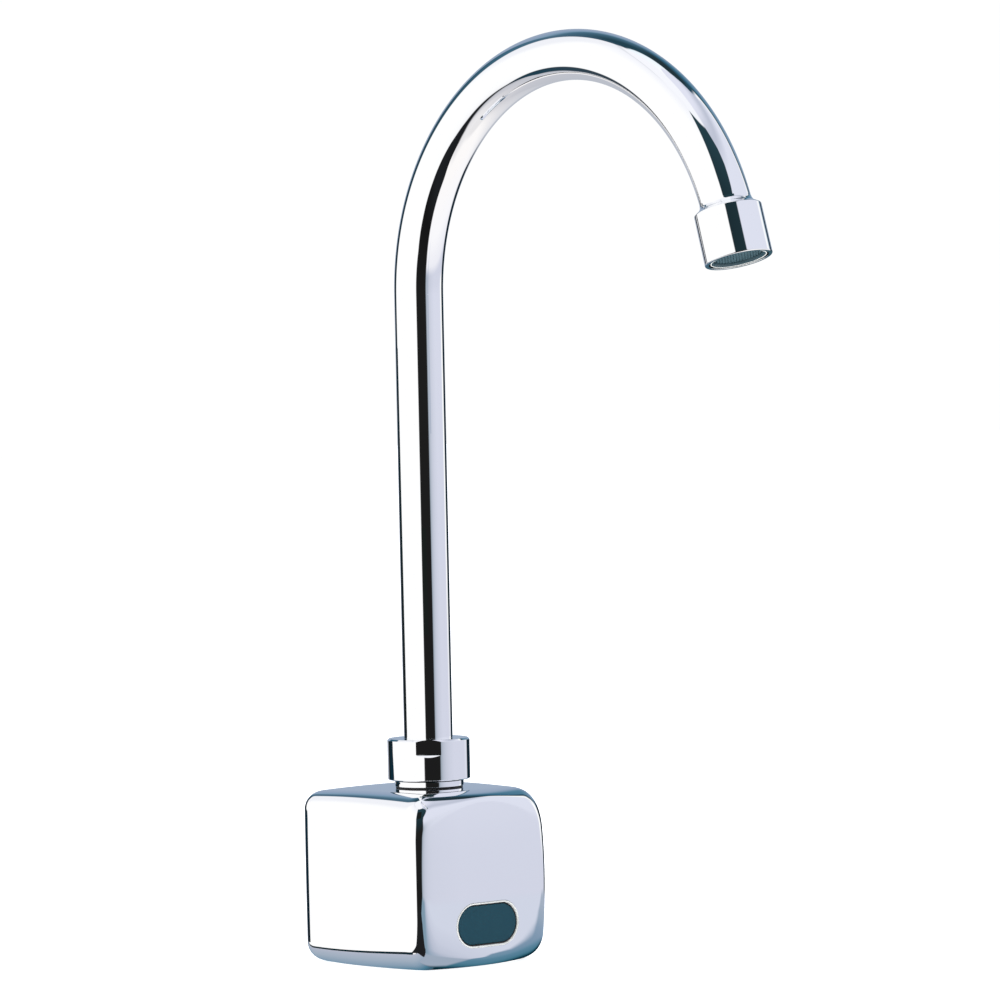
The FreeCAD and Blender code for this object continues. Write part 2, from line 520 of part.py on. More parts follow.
hous = fuse(tub(0.0), box(-20.8, 20.8, -15.85, -14.85, 11.2, 16.4))
hous = cut(hous, tub(1.1), *[ycyl(1.35, -17, -13, sx * 18.2, WINDOW_Z) for sx in (-1, 1)],
           box(-2.5, 2.5, y1 - 2, y1 + 1, 14.5, 17.5))
put("sensor_housing", hous)
board = fuse(box(-9.6, 9.6, -16.4, -15.2, 8.4, 19.6), box(-12.9, 12.9, -16.4, -15.2, 12.6, 19.6))
chips = [box(-2.2, 2.2, -17.2, -16.4, 9.2, 12.4), box(3.2, 4.8, -16.9, -16.4, 9.2, 10.1),
         box(-4.8, -3.2, -16.9, -16.4, 9.2, 10.1), box(-3.2, 3.2, -15.2, -13.8, 14.4, 17.6)]
put("sensor_board", fuse(board, *chips))


def diode(x):
    y = -19.6
    body = ycyl(2.5, y, -17.4, x, WINDOW_Z).fuse(Part.makeSphere(2.5, Vector(x, y, WINDOW_Z)))
    body = body.fuse(ycyl(2.9, -18.3, -17.4, x, WINDOW_Z))
    legs = [ycyl(0.3, -17.5, -16.4, x + d, WINDOW_Z) for d in (-1.27, 1.27)]
    return fuse(body, *legs)


put("ir_emitter", diode(-7.0))
put("ir_receiver", diode(7.0))
put("light_baffle", box(-0.6, 0.6, -22.25, -16.45, 12.6, 19.2).cut(box(-2, 2, -17.5, -16, 8, 12.6)))


def yscrew(x, z):
    head = ycyl(2.1, -14.8, -13.3, x, z)
    s = head.fuse(ycyl(1.0, -21.5, -14.8, x, z))
    vs = [Vector(x + 0.95 * math.cos(k * math.pi / 3), -13.3, z + 0.95 * math.sin(k * math.pi / 3)) for k in range(6)]
    return s.cut(Part.Face(Part.makePolygon(vs + [vs[0]])).extrude(Vector(0, -0.8, 0)))


put("sensor_screws", Part.makeCompound([yscrew(sx * 18.2, WINDOW_Z) for sx in (-1, 1)]))

# ---------------------------------------------------------------- write
total = FreeCAD.BoundBox()
for name, s in NODES.items():
    ok = s.isValid()
    vols = [round(x.Volume, 2) for x in s.Solids]
    bb = s.BoundBox
    total.add(bb)
    print("%-18s valid=%s solids=%d vol=%s  x %.2f..%.2f y %.2f..%.2f z %.2f..%.2f" % (
        name, ok, len(s.Solids), vols[:4], bb.XMin, bb.XMax, bb.YMin, bb.YMax, bb.ZMin, bb.ZMax))
    s.exportStep("parts/%s.step" % name)
print("nodes", len(NODES), total)
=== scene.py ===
import json
import math

import bpy
import numpy as np
from mathutils import Matrix, Vector


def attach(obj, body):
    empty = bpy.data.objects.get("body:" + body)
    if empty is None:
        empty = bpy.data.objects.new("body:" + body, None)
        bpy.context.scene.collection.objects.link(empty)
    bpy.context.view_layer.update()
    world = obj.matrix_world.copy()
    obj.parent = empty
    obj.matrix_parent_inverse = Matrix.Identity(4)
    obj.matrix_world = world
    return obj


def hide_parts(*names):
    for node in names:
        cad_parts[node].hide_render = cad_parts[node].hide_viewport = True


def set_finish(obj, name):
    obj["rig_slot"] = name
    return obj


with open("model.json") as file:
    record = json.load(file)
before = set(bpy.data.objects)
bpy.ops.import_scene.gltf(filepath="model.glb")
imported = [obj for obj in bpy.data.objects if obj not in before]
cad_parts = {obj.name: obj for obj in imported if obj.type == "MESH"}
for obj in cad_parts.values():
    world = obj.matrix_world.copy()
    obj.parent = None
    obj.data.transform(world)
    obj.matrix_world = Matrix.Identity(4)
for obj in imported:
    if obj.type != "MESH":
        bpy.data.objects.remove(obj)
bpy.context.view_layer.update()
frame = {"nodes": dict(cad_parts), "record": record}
NODES = frame["nodes"]
SCENE = bpy.context.scene
S = 0.001          # lengths below are millimetres unless a name ends in _m


# ------------------------------------------------------------------ camera
AZ, EL, ROLL = math.radians(-41.986), math.radians(1.418), math.radians(-1.225)
DIST, FOCAL_PX, SIDE, AIM_Z = 1716.6, 5303.87, 24.862, 149.083
back = Vector((math.sin(AZ) * math.cos(EL), -math.cos(AZ) * math.cos(EL), math.sin(EL)))
right = Vector((math.cos(AZ), math.sin(AZ), 0.0))
up = back.cross(right)
right2 = math.cos(ROLL) * right + math.sin(ROLL) * up
up2 = -math.sin(ROLL) * right + math.cos(ROLL) * up
cam_data = bpy.data.cameras.new("camera")
cam_data.sensor_width = 36.0
cam_data.lens = FOCAL_PX / 1000.0 * 36.0
cam_data.clip_start, cam_data.clip_end = 0.05, 60.0
camera = bpy.data.objects.new("camera", cam_data)
SCENE.collection.objects.link(camera)
place = (Vector((0, 0, AIM_Z)) + SIDE * right + DIST * back) * S
camera.matrix_world = Matrix((
    (right2.x, up2.x, back.x, place.x),
    (right2.y, up2.y, back.y, place.y),
    (right2.z, up2.z, back.z, place.z),
    (0, 0, 0, 1)))
SCENE.camera = camera


# ------------------------------------------------------------------ mesh helpers
def new_object(name, verts, faces, loop_normals=None, sharp=None):
    """Mesh object from millimetre vertices, with normals per face corner or smoothed up to an angle."""
    me = bpy.data.meshes.new(name)
    me.from_pydata([tuple(S * c for c in v) for v in verts], [], [tuple(f) for f in faces])
    me.validate()
    me.update()
    ob = bpy.data.objects.new(name, me)
    SCENE.collection.objects.link(ob)
    me.polygons.foreach_set("use_smooth", [True] * len(me.polygons))
    if loop_normals is not None:
        me.normals_split_custom_set([tuple(n) for n in loop_normals])
    elif sharp is not None:
        smooth_within(me, sharp)
    return ob


def smooth_within(me, degrees, exact=None):
    """Corner normals: area weighted over the faces round the vertex that lie within an angle, or exact where given."""
    nl, nf, nv = len(me.loops), len(me.polygons), len(me.vertices)
    fn = np.zeros(nf * 3)
    me.polygons.foreach_get("normal", fn)
    fn = fn.reshape(-1, 3)
    ar = np.zeros(nf)
    me.polygons.foreach_get("area", ar)
    tot = np.zeros(nf, int)
    me.polygons.foreach_get("loop_total", tot)
    lv = np.zeros(nl, int)
    me.loops.foreach_get("vertex_index", lv)
    lf = np.repeat(np.arange(nf), tot)
    order = np.argsort(lv, kind="stable")
    starts = np.searchsorted(lv[order], np.arange(nv))
    ends = np.searchsorted(lv[order], np.arange(nv), side="right")
    width = int((ends - starts).max())
    lim = math.cos(math.radians(degrees))
    mine = fn[lf]
    acc = np.zeros((nl, 3))
    for k in range(width):
        at = starts[lv] + k
        ok = at < ends[lv]
        other = order[np.minimum(at, nl - 1)]
        f = lf[other]
        near = ok & ((fn[f] * mine).sum(1) >= lim)
        acc += np.where(near[:, None], fn[f] * ar[f][:, None], 0.0)
    ln = np.linalg.norm(acc, axis=1)
    res = np.where(ln[:, None] > 1e-14, acc / np.maximum(ln, 1e-14)[:, None], mine)
    if exact is not None:
        co = np.zeros(nv * 3)
        me.vertices.foreach_get("co", co)
        pts = co.reshape(-1, 3)[lv] / S
        use, en = exact(pts, mine)
        res = np.where(use[:, None], en, res)
    me.polygons.foreach_set("use_smooth", [True] * nf)
    me.normals_split_custom_set([tuple(n) for n in res])
    me.update()


def fillet_profile(points, seg=6):
    """Closed profile from (r, z, fillet) points: returns the polyline and, per segment, its two end normals."""
    n = len(points)
    P = [np.array(p[:2], float) for p in points]
    rad = [p[2] if len(p) > 2 else 0.0 for p in points]
    area = sum(P[i][0] * P[(i + 1) % n][1] - P[(i + 1) % n][0] * P[i][1] for i in range(n))
    sign = 1.0 if area > 0 else -1.0

    def normal(a, b):
        d = (b - a) / max(np.linalg.norm(b - a), 1e-12)
        return sign * np.array([d[1], -d[0]])
    chain = []          # (point, normal before, normal after)
    for i in range(n):
        a, b, c = P[i - 1], P[i], P[(i + 1) % n]
        n0, n1 = normal(a, b), normal(b, c)
        if rad[i] <= 0:
            chain.append((b, n0, n1))
            continue
        u = (a - b) / np.linalg.norm(a - b)
        v = (c - b) / np.linalg.norm(c - b)
        half = 0.5 * math.acos(max(-1, min(1, float(u @ v))))
        back_off = rad[i] / math.tan(half)
        s0, s1 = b + u * back_off, b + v * back_off
        mid = b + (u + v) / np.linalg.norm(u + v) * (rad[i] / math.sin(half))
        w0, w1 = (s0 - mid) / rad[i], (s1 - mid) / rad[i]
        outward = 1.0 if w0 @ n0 > 0 else -1.0
        ang = math.acos(max(-1, min(1, float(w0 @ w1))))
        for k in range(seg + 1):
            t = k / seg
            w = (math.sin((1 - t) * ang) * w0 + math.sin(t * ang) * w1) / math.sin(ang)
            q = mid + w * rad[i]
            m = outward * w
            chain.append((q, n0 if k == 0 else m, n1 if k == seg else m))
    return chain


def lathe(name, points, segs=160, seg=6, place=None):
    """Closed solid of revolution with exact corner normals. place maps (x, y, z) arrays to the row frame."""
    chain = fillet_profile(points, seg)
    m = len(chain)
    verts, idx = [], []
    for p, _, _ in chain:
        if p[0] < 1e-9:
            idx.append([len(verts)] * segs)
            verts.append((0.0, 0.0, p[1]))
        else:
            row = []
            for k in range(segs):
                a = 2 * math.pi * k / segs
                row.append(len(verts))
                verts.append((p[0] * math.cos(a), p[0] * math.sin(a), p[1]))
            idx.append(row)
    area = sum(chain[i][0][0] * chain[(i + 1) % m][0][1] - chain[(i + 1) % m][0][0] * chain[i][0][1] for i in range(m))
    faces, normals = [], []
    for i in range(m):
        j = (i + 1) % m
        a0, a1 = chain[i][2], chain[j][1]
        on_axis = chain[i][0][0] < 1e-9 and chain[j][0][0] < 1e-9
        if on_axis:
            continue
        for k in range(segs):
            k2 = (k + 1) % segs
            ca, sa = math.cos(2 * math.pi * k / segs), math.sin(2 * math.pi * k / segs)
            cb, sb = math.cos(2 * math.pi * k2 / segs), math.sin(2 * math.pi * k2 / segs)
            quad = [(idx[i][k], a0, ca, sa), (idx[i][k2], a0, cb, sb), (idx[j][k2], a1, cb, sb), (idx[j][k], a1, ca, sa)]
            if area < 0:
                quad.reverse()
            seen, q = set(), []
            for t in quad:
                if t[0] not in seen:
                    seen.add(t[0])
                    q.append(t)
            if len(q) < 3:
                continue
            faces.append([t[0] for t in q])
            normals += [(t[1][0] * t[2], t[1][0] * t[3], t[1][1]) for t in q]
    verts = np.array(verts, float)
    normals = np.array(normals, float)
    if place is not None:
        verts, normals = place(verts, normals)
    return new_object(name, verts, faces, normals)


def boolean(ob, cutter, keep=False, operation="DIFFERENCE"):
    mod = ob.modifiers.new("cut", "BOOLEAN")
    mod.operation, mod.solver, mod.object = operation, "EXACT", cutter
    bpy.context.view_layer.update()
    dg = bpy.context.evaluated_depsgraph_get()
    me = bpy.data.meshes.new_from_object(ob.evaluated_get(dg), preserve_all_data_layers=False, depsgraph=dg)
    ob.modifiers.clear()
    old = ob.data
    ob.data = me
    me.name = old.name
    bpy.data.meshes.remove(old)
    if not keep:
        bpy.data.objects.remove(cutter)


def prism_rings(name, rings, sharp=30):
    """Closed solid through rings of equal length, with flat ends."""
    n = len(rings[0])
    verts = [p for r in rings for p in r]
    faces = []
    for i in range(len(rings) - 1):
        for k in range(n):
            k2 = (k + 1) % n
            faces.append((i * n + k, i * n + k2, (i + 1) * n + k2, (i + 1) * n + k))
    faces.append(tuple(reversed(range(n))))
    faces.append(tuple((len(rings) - 1) * n + k for k in range(n)))
    ob = new_object(name, verts, faces)
    fix_outward(ob)
    if sharp:
        smooth_within(ob.data, sharp)
    return ob


def fix_outward(ob):
    """Turns the faces outward if the mesh is inside out."""
    me = ob.data
    me.calc_loop_triangles()
    vol = 0.0
    for t in me.loop_triangles:
        a, b, c = (me.vertices[i].co for i in t.vertices)
        vol += a.dot(b.cross(c))
    if vol < 0:
        me.flip_normals()
        me.update()


def stadium(w, h, n_end=24, n_flat=12):
    """Points (x, z) and outward directions round a horizontal stadium, w wide and h high."""
    r, a = h / 2.0, w / 2.0 - h / 2.0
    out = []
    for k in range(n_end + 1):
        t = math.pi / 2 - math.pi * k / n_end
        out.append((a + r * math.cos(t), r * math.sin(t), math.cos(t), math.sin(t)))
    for k in range(1, n_flat):
        out.append((a - 2 * a * k / n_flat, -r, 0.0, -1.0))
    for k in range(n_end + 1):
        t = -math.pi / 2 - math.pi * k / n_end
        out.append((-a + r * math.cos(t), r * math.sin(t), math.cos(t), math.sin(t)))
    for k in range(1, n_flat):
        out.append((-a + 2 * a * k / n_flat, r, 0.0, 1.0))
    return out


def rrect(hx, hy, r, n=10):
    """Points round a rounded rectangle in the XY plane."""
    out = []
    for cx, cy, t0 in ((hx - r, hy - r, 0), (-hx + r, hy - r, 90), (-hx + r, -hy + r, 180), (hx - r, -hy + r, 270)):
        for k in range(n + 1):
            t = math.radians(t0 + 90.0 * k / n)
            out.append((cx + r * math.cos(t), cy + r * math.sin(t)))
    return out


# ------------------------------------------------------------------ body casting
Q = dict(a=28.482, yf=27.76, yb=32.027, H=56.802, Z0=-1.023, rb=6.238, rx=7.209, ry=4.084, rxz=3.536, ryz=4.717,
         rt=3.14, rd=3.002, rtx=11.594, kx=0.194, kyx=4.766, kyz=1.782, kt=1.206, kd=2.112, p=3.166, pz=2.275)
QI = dict(a=25.4, yf=23.902, yb=28.9, H=53.302, Z0=6.5, rb=4.0, rx=7.5, ry=3.6, rxz=0.0, ryz=0.0,
          rt=12.0, rd=6.0, rtx=0.0, kx=0.6, kyx=2.4, kyz=2.4, kt=0.0, kd=0.0, p=2.4, pz=2.4)


def rounded(p, q):
    """Negative inside the crowned, edge-rounded block q. p is an (n, 3) array."""
    x, y, z = p[:, 0], p[:, 1], p[:, 2]
    h = (q["H"] - q["Z0"]) / 2.0
    zz = (z - q["Z0"] - h) / h
    xx = x / q["a"]
    ym, yh = (q["yb"] - q["yf"]) / 2.0, (q["yb"] + q["yf"]) / 2.0
    yy = (y - ym) / yh
    s = np.clip((q["yb"] - y) / (2 * yh), 0, 1)
    s = s * s * (3 - 2 * s)
    zq, xq = np.minimum(zz * zz, 1.2), np.minimum(xx * xx, 1.2)
    rb = q["rb"]
    rx = rb + (q["rx"] + q["rxz"] * zq - rb) * s
    rt = rb + (q["rt"] + q["rtx"] * xq - rb) * s
    rd = rb + (q["rd"] + q["rtx"] * xq * 0.5 - rb) * s
    ry = np.where(y < 0, q["ry"] + q["ryz"] * zq, rb)
    gx = np.abs(x) - (q["a"] - q["kx"] * zz * zz)
    gy = np.where(y < 0, -y - (q["yf"] - (q["kyx"] * xx * xx + q["kyz"] * zz * zz) / 2.0), y - q["yb"])
    gt = z - (q["H"] - q["kt"] * (xx * xx + yy * yy) / 2.0)
    gd = q["Z0"] + q["kd"] * (xx * xx + yy * yy) / 2.0 - z
    upright = np.maximum((gx + rx) / rx, 0.0) ** q["p"] + np.maximum((gy + ry) / ry, 0.0) ** q["p"]
    return (upright ** (q["pz"] / q["p"]) + np.maximum((gt + rt) / rt, 0.0) ** q["pz"]
            + np.maximum((gd + rd) / rd, 0.0) ** q["pz"] - 1.0)


def surface_normal(p, q, e=0.02):
    g = np.stack([rounded(p + d, q) - rounded(p - d, q) for d in np.eye(3) * e], 1)
    return g / np.maximum(np.linalg.norm(g, axis=1), 1e-12)[:, None]


def block_mesh(name, q, n):
    """Closed mesh of the block: six square grids pushed out to its surface."""
    yc, yh = (q["yb"] - q["yf"]) / 2.0, (q["yb"] + q["yf"]) / 2.0
    zc, zh = (q["H"] + q["Z0"]) / 2.0, (q["H"] - q["Z0"]) / 2.0
    ts = [math.sin(math.pi / 2 * (-1 + 2.0 * i / n)) * 0.55 + (-1 + 2.0 * i / n) * 0.45 for i in range(n + 1)]
    key, dirs, faces = {}, [], []

    def vert(d):
        k = tuple(round(c, 9) for c in d)
        if k not in key:
            key[k] = len(dirs)
            dirs.append(d)
        return key[k]
    sides = ((lambda u, v: (1, u, v)), (lambda u, v: (-1, v, u)), (lambda u, v: (v, 1, u)),
             (lambda u, v: (u, -1, v)), (lambda u, v: (u, v, 1)), (lambda u, v: (v, u, -1)))
    for d in sides:
        g = [[vert(d(u, v)) for v in ts] for u in ts]
        for i in range(n):
            for j in range(n):
                faces.append((g[i][j], g[i + 1][j], g[i + 1][j + 1], g[i][j + 1]))
    D = np.array(dirs, float) * np.array([q["a"], yh, zh])
    C = np.array([0.0, yc, zc])
    lo, hi = np.zeros(len(D)), np.full(len(D), 1.5)
    for _ in range(48):
        mid = (lo + hi) / 2
        inside = rounded(C + D * mid[:, None], q) < 0
        lo = np.where(inside, mid, lo)
        hi = np.where(inside, hi, mid)
    V = C + D * lo[:, None]
    ob = new_object(name, V, faces)
    fix_outward(ob)
    return ob


def front_y(x, z, q):
    """Y of the front surface at (x, z)."""
    x, z = np.asarray(x, float), np.asarray(z, float)
    lo, hi = np.full(len(x), 0.0), np.full(len(x), 40.0)
    for _ in range(40):
        mid = (lo + hi) / 2
        inside = rounded(np.stack([x, -mid, z], 1), q) < 0
        lo = np.where(inside, mid, lo)
        hi = np.where(inside, hi, mid)
    return -lo


WIN_W, WIN_H, WIN_Z = 25.5, 13.2, 13.75
HIGHLIGHT_RING_W = 0.62                     # width of the pale ring round the window, which is a painted highlight
LIP = 0.14                       # rounding of the casting outside it


def round_window(off, depth, flat=None):
    """Points round the window at an offset, on the front surface plus a depth, or in a flat plane."""
    st = stadium(WIN_W, WIN_H, 40, 24)
    x = np.array([p[0] + p[2] * off for p in st])
    z = np.array([p[1] + p[3] * off for p in st]) + WIN_Z
    y = np.full(len(x), flat) if flat is not None else front_y(x, z, Q) + depth
    return [(x[k], y[k], z[k]) for k in range(len(x))]


def window_cutter():
    rings = [round_window(HIGHLIGHT_RING_W + LIP * 1.9, 0, flat=-34.0), round_window(HIGHLIGHT_RING_W + LIP * 1.9, -0.10)]
    m = 5
    for k in range(m + 1):
        t = math.pi / 2 * k / m
        rings.append(round_window(HIGHLIGHT_RING_W + (LIP * (1 - math.sin(t)) if k < m else 0.0), LIP * (1 - math.cos(t))))
    rings += [round_window(HIGHLIGHT_RING_W, 1.5), round_window(0.0, 1.5), round_window(0.0, 0, flat=-20.0)]
    return prism_rings("window_cutter", rings, sharp=None)


def box_mesh(name, x0, x1, y0, y1, z0, z1):
    return prism_rings(name, [[(x0, y0, z), (x1, y0, z), (x1, y1, z), (x0, y1, z)] for z in (z0, z1)], sharp=None)


def round_prism(name, pts, z0, z1, cy=0.0):
    return prism_rings(name, [[(x, y + cy, z) for x, y in pts] for z in (z0, z1)], sharp=None)


def disc(r, n=160):
    return [(r * math.cos(2 * math.pi * k / n), r * math.sin(2 * math.pi * k / n)) for k in range(n)]


body = block_mesh("cast_body", Q, 72)
boolean(body, box_mesh("c", -60, 60, -60, 60, -9, 0))
boolean(body, block_mesh("c", QI, 20))
boolean(body, round_prism("c", rrect(17.95, 19.95, 4.8), -2, 4.5, 2.8))
boolean(body, round_prism("c", rrect(14.4, 16.4, 3.6), 3.0, 9.0, 2.8))
boolean(body, round_prism("c", disc(10.68), 50, 60))
boolean(body, window_cutter())


def outer_exact(p, fnorm):
    f = np.abs(rounded(p, Q))
    n = surface_normal(p, Q)
    use = (f < 2e-3) & ((n * fnorm).sum(1) > 0.80) & (p[:, 2] > -0.2)
    return use, n


smooth_within(body.data, 32, outer_exact)
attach(body, "body")
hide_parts("body_shell")
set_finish(body, "polished_chrome")


# ------------------------------------------------------------------ gooseneck tube
TUBE_R, TUBE_IN_R, TUBE_Z0 = 7.9375, 6.7, 61.5
ARC_Z, ARC_R, ARC_DEG = 215.944, 73.295, 163.94
A = math.radians(ARC_DEG)
END = np.array([0.0, -ARC_R + ARC_R * math.cos(A), ARC_Z + ARC_R * math.sin(A)])
DIR = np.array([0.0, -math.sin(A), math.cos(A)])
INW = np.array([0.0, -math.cos(A), -math.sin(A)])          # from the outlet axis towards the centre of the arc


def tube_path():
    pts = []
    for k in range(31):
        pts.append((np.array([0, 0, TUBE_Z0 + (ARC_Z - TUBE_Z0) * k / 30.0]), np.array([0, 0, 1.0])))
    m = 200
    for k in range(1, m + 1):
        t = A * k / m
        pts.append((np.array([0, -ARC_R + ARC_R * math.cos(t), ARC_Z + ARC_R * math.sin(t)]),
                    np.array([0, -math.sin(t), math.cos(t)])))
    pts.append((END + DIR * 2.0, DIR))
    return pts


def sweep_tube(name, ro, ri, segs=128):
    path = tube_path()
    X = np.array([1.0, 0, 0])
    verts, norms = [], []
    for r, side in ((ro, 1), (ri, -1)):
        for c, t in path:
            b = np.cross(t, X)
            for k in range(segs):
                a = 2 * math.pi * k / segs
                d = math.cos(a) * X + math.sin(a) * b
                verts.append(c + r * d)
                norms.append(side * d)
    n = len(path)
    faces, ln = [], []
    for s in range(2):
        o = s * n * segs
        for i in range(n - 1):
            for k in range(segs):
                k2 = (k + 1) % segs
                f = [o + i * segs + k, o + i * segs + k2, o + (i + 1) * segs + k2, o + (i + 1) * segs + k]
                if s == 1:
                    f.reverse()
                faces.append(f)
                ln += [norms[v] for v in f]
    for i, t in ((0, -path[0][1]), (n - 1, path[-1][1])):
        for k in range(segs):
            k2 = (k + 1) % segs
            f = [i * segs + k, n * segs + i * segs + k, n * segs + i * segs + k2, i * segs + k2]
            if i == 0:
                f = [f[0], f[1], f[2], f[3]]
            else:
                f.reverse()
            faces.append(f)
            ln += [t] * 4
    ob = new_object(name, verts, faces, ln)
    me = ob.data
    fn = me.polygons[0].normal
    if Vector(norms[0]).dot(fn) < 0:
        me.flip_normals()
        me.update()
    return ob


gooseneck = sweep_tube("gooseneck_tube", TUBE_R, TUBE_IN_R)
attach(gooseneck, "spout")
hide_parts("spout_tube")
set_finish(gooseneck, "polished_chrome")


# ------------------------------------------------------------------ spout foot
NECK_R, COLLAR_R, CZ0, CZ1, BODY_TOP = 11.2, 13.39, 59.26, 72.62, 56.802
neck = lathe("neck_fitting", [(8.0, 47.0), (0.0, 47.0), (0.0, 44.5), (10.6, 44.5, 0.3), (10.6, BODY_TOP + 0.35),
                              (NECK_R, BODY_TOP + 0.35, 0.12), (NECK_R, CZ0 - 0.45, 0.2), (10.9, CZ0 - 0.15), (10.9, CZ0 + 0.6),
                              (11.5, CZ0 + 1.3), (11.5, 68.6), (11.1, 69.0), (9.7, 69.0), (9.7, 59.8), (8.0, 59.8)])
boolean(neck, round_prism("c", [(x, y - 5.0) for x, y in disc(3.55, 48)], 44, 48))
smooth_within(neck.data, 28)
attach(neck, "body")
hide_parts("spout_hub")
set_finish(neck, "polished_chrome")

collar = lathe("collar_ring", [(11.55, CZ0), (COLLAR_R - 0.3, CZ0, 0.1), (COLLAR_R, CZ0 + 0.3, 0.2),
                               (COLLAR_R, CZ1 - 0.6, 0.25), (COLLAR_R - 0.6, CZ1, 0.2), (8.03, CZ1, 0.15),
                               (8.03, 70.02), (11.55, 70.02)], 192)
FLAT_D, FLAT_Z, FLAT_TURN = 12.757, 67.7, -41.3


def flat_cutter(turn):
    """Wedge outside one spanner flat of the collar, with a sloping foot rounded into the flat."""
    u = np.array([math.sin(math.radians(turn)), -math.cos(math.radians(turn)), 0.0])
    t = np.array([-u[1], u[0], 0.0])
    prof = [(FLAT_D, 74.0), (FLAT_D, FLAT_Z + 0.2), (FLAT_D + 0.03, FLAT_Z + 0.08), (FLAT_D + 0.12, FLAT_Z - 0.08),
            (FLAT_D + 3.24, FLAT_Z - 3.86), (FLAT_D + 3.24, 74.0)]
    rings = [[tuple(u * d + t * w + np.array([0, 0, z])) for d, z in prof] for w in (-10.0, 10.0)]
    return prism_rings("c", rings, sharp=None)


def collar_exact(p, fnorm):
    """Radial normals on the plain cylinder of the collar."""
    r = np.hypot(p[:, 0], p[:, 1])
    n = np.stack([p[:, 0], p[:, 1], np.zeros(len(p))], 1) / np.maximum(r, 1e-9)[:, None]
    use = (np.abs(r - COLLAR_R) < 4e-3) & ((n * fnorm).sum(1) > 0.9995)
    return use, n


boolean(collar, flat_cutter(FLAT_TURN))
boolean(collar, flat_cutter(FLAT_TURN + 180))
smooth_within(collar.data, 24, collar_exact)
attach(collar, "body")
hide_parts("collar_nut")
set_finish(collar, "polished_chrome")


# ------------------------------------------------------------------ outlet
def at_outlet(v, n):
    """Local z runs down the outlet. Above the end of the arc the piece bends with the tube."""
    t = v[:, 2]
    lean = np.where(t < 0, t * t / (2 * ARC_R), 0.0)
    # local +X keeps to the row's X; local +Y points to the centre of the arc
    X = np.array([1.0, 0, 0])
    Y = np.cross(DIR, X)
    w = END + v[:, :1] * X + v[:, 1:2] * Y + t[:, None] * DIR + lean[:, None] * INW
    return w, n[:, :1] * X + n[:, 1:2] * Y + n[:, 2:3] * DIR


T0, T1, OUT_R = -1.85, 13.9, 10.5
outlet = lathe("outlet_sleeve", [(7.96, T0 - 3.1), (8.0, T0 - 3.1), (8.14, T0 - 2.2, 1.6), (8.7, T0 - 1.25, 0.8), (OUT_R - 0.05, T0 - 0.1, 0.45),
                                 (OUT_R, T1, 0.42), (9.3, T1, 0.12), (9.3, 3.2), (7.96, 3.2)], 192, place=at_outlet)
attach(outlet, "spout")
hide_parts("outlet_collar")
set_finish(outlet, "polished_chrome")

aer = lathe("aerator_ring", [(7.55, 4.85), (9.24, 4.85), (9.24, 12.2, 0.1), (8.8, 12.7, 0.15), (8.8, 13.5, 0.2), (8.05, 13.5, 0.2),
                             (7.62, 13.0, 0.15), (7.55, 12.7)], 160, place=at_outlet)
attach(aer, "spout")
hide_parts("aerator_shell")
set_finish(aer, "aerator_plastic")

# pale ring at the mouth of the outlet: a painted highlight for the thin light line round the aerator
glint_lip = lathe("aerator_glint_lip", [(8.42, 13.2), (8.42, 13.63, 0.12), (8.73, 13.63, 0.12), (8.73, 13.2)], 160, place=at_outlet)
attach(glint_lip, "spout")
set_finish(glint_lip, "white_acetal")


def woven_screen(name, r, t, pitch, wire, amp):
    """Plain weave of round wires inside radius r, centred at depth t in the outlet."""
    verts, faces = [], []
    n = int(r / pitch)
    ns = 6
    for way in range(2):
        for i in range(-n, n + 1):
            off = i * pitch
            half = math.sqrt(max(r * r - off * off, 0.0))
            if half < pitch:
                continue
            steps = max(4, int(round(2 * half / (pitch / 4.0))))
            first = len(verts)
            for k in range(steps + 1):
                u = -half + 2 * half * k / steps
                sgn = 1 if (i % 2 == 0) == (way == 0) else -1
                w = sgn * amp * math.cos(math.pi * u / pitch)
                for j in range(ns):
                    a = 2 * math.pi * j / ns
                    du, dw = wire * math.cos(a), wire * math.sin(a)
                    p = (u, off + du, t + w + dw) if way == 0 else (off + du, u, t + w + dw)
                    verts.append(p)
            for k in range(steps):
                for j in range(ns):
                    j2 = (j + 1) % ns
                    f = (first + k * ns + j, first + k * ns + j2, first + (k + 1) * ns + j2, first + (k + 1) * ns + j)
                    faces.append(f if way == 0 else f[::-1])
            caps = [tuple(first + j for j in range(ns)), tuple(first + steps * ns + j for j in range(ns))]
            faces += [caps[0][::-1], caps[1]] if way == 0 else [caps[0], caps[1][::-1]]
    v = np.array(verts, float)
    w, _ = at_outlet(v, v)
    return new_object(name, w, faces, sharp=50)


screen = woven_screen("outlet_screen", 7.45, 12.45, 0.62, 0.13, 0.13)
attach(screen, "spout")
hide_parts("aerator_screen")
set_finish(screen, "aerator_mesh")


# ------------------------------------------------------------------ sensor window
def lens(name):
    """Dark window: flat pane with a rolled rim."""
    W, H = WIN_W - 0.9, WIN_H - 0.9
    st = stadium(W, H, 40, 24)
    rings = []

    def ring(off, y):
        rings.append([(x + nx * off, y, WIN_Z + z + nz * off) for x, z, nx, nz in st])
    ring(0.6, -22.4)
    ring(0.6, -23.2)
    ring(0.0, -23.2)
    ring(0.0, -26.6)
    for k in range(1, 6):
        t = math.pi / 2 * k / 5
        ring(-0.2 + 0.2 * math.cos(t), -26.6 - 0.2 * math.sin(t))
    ob = prism_rings(name, rings, sharp=30)
    return ob


pane = lens("sensor_pane")
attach(pane, "body")
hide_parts("sensor_window")
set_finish(pane, "window_plastic")


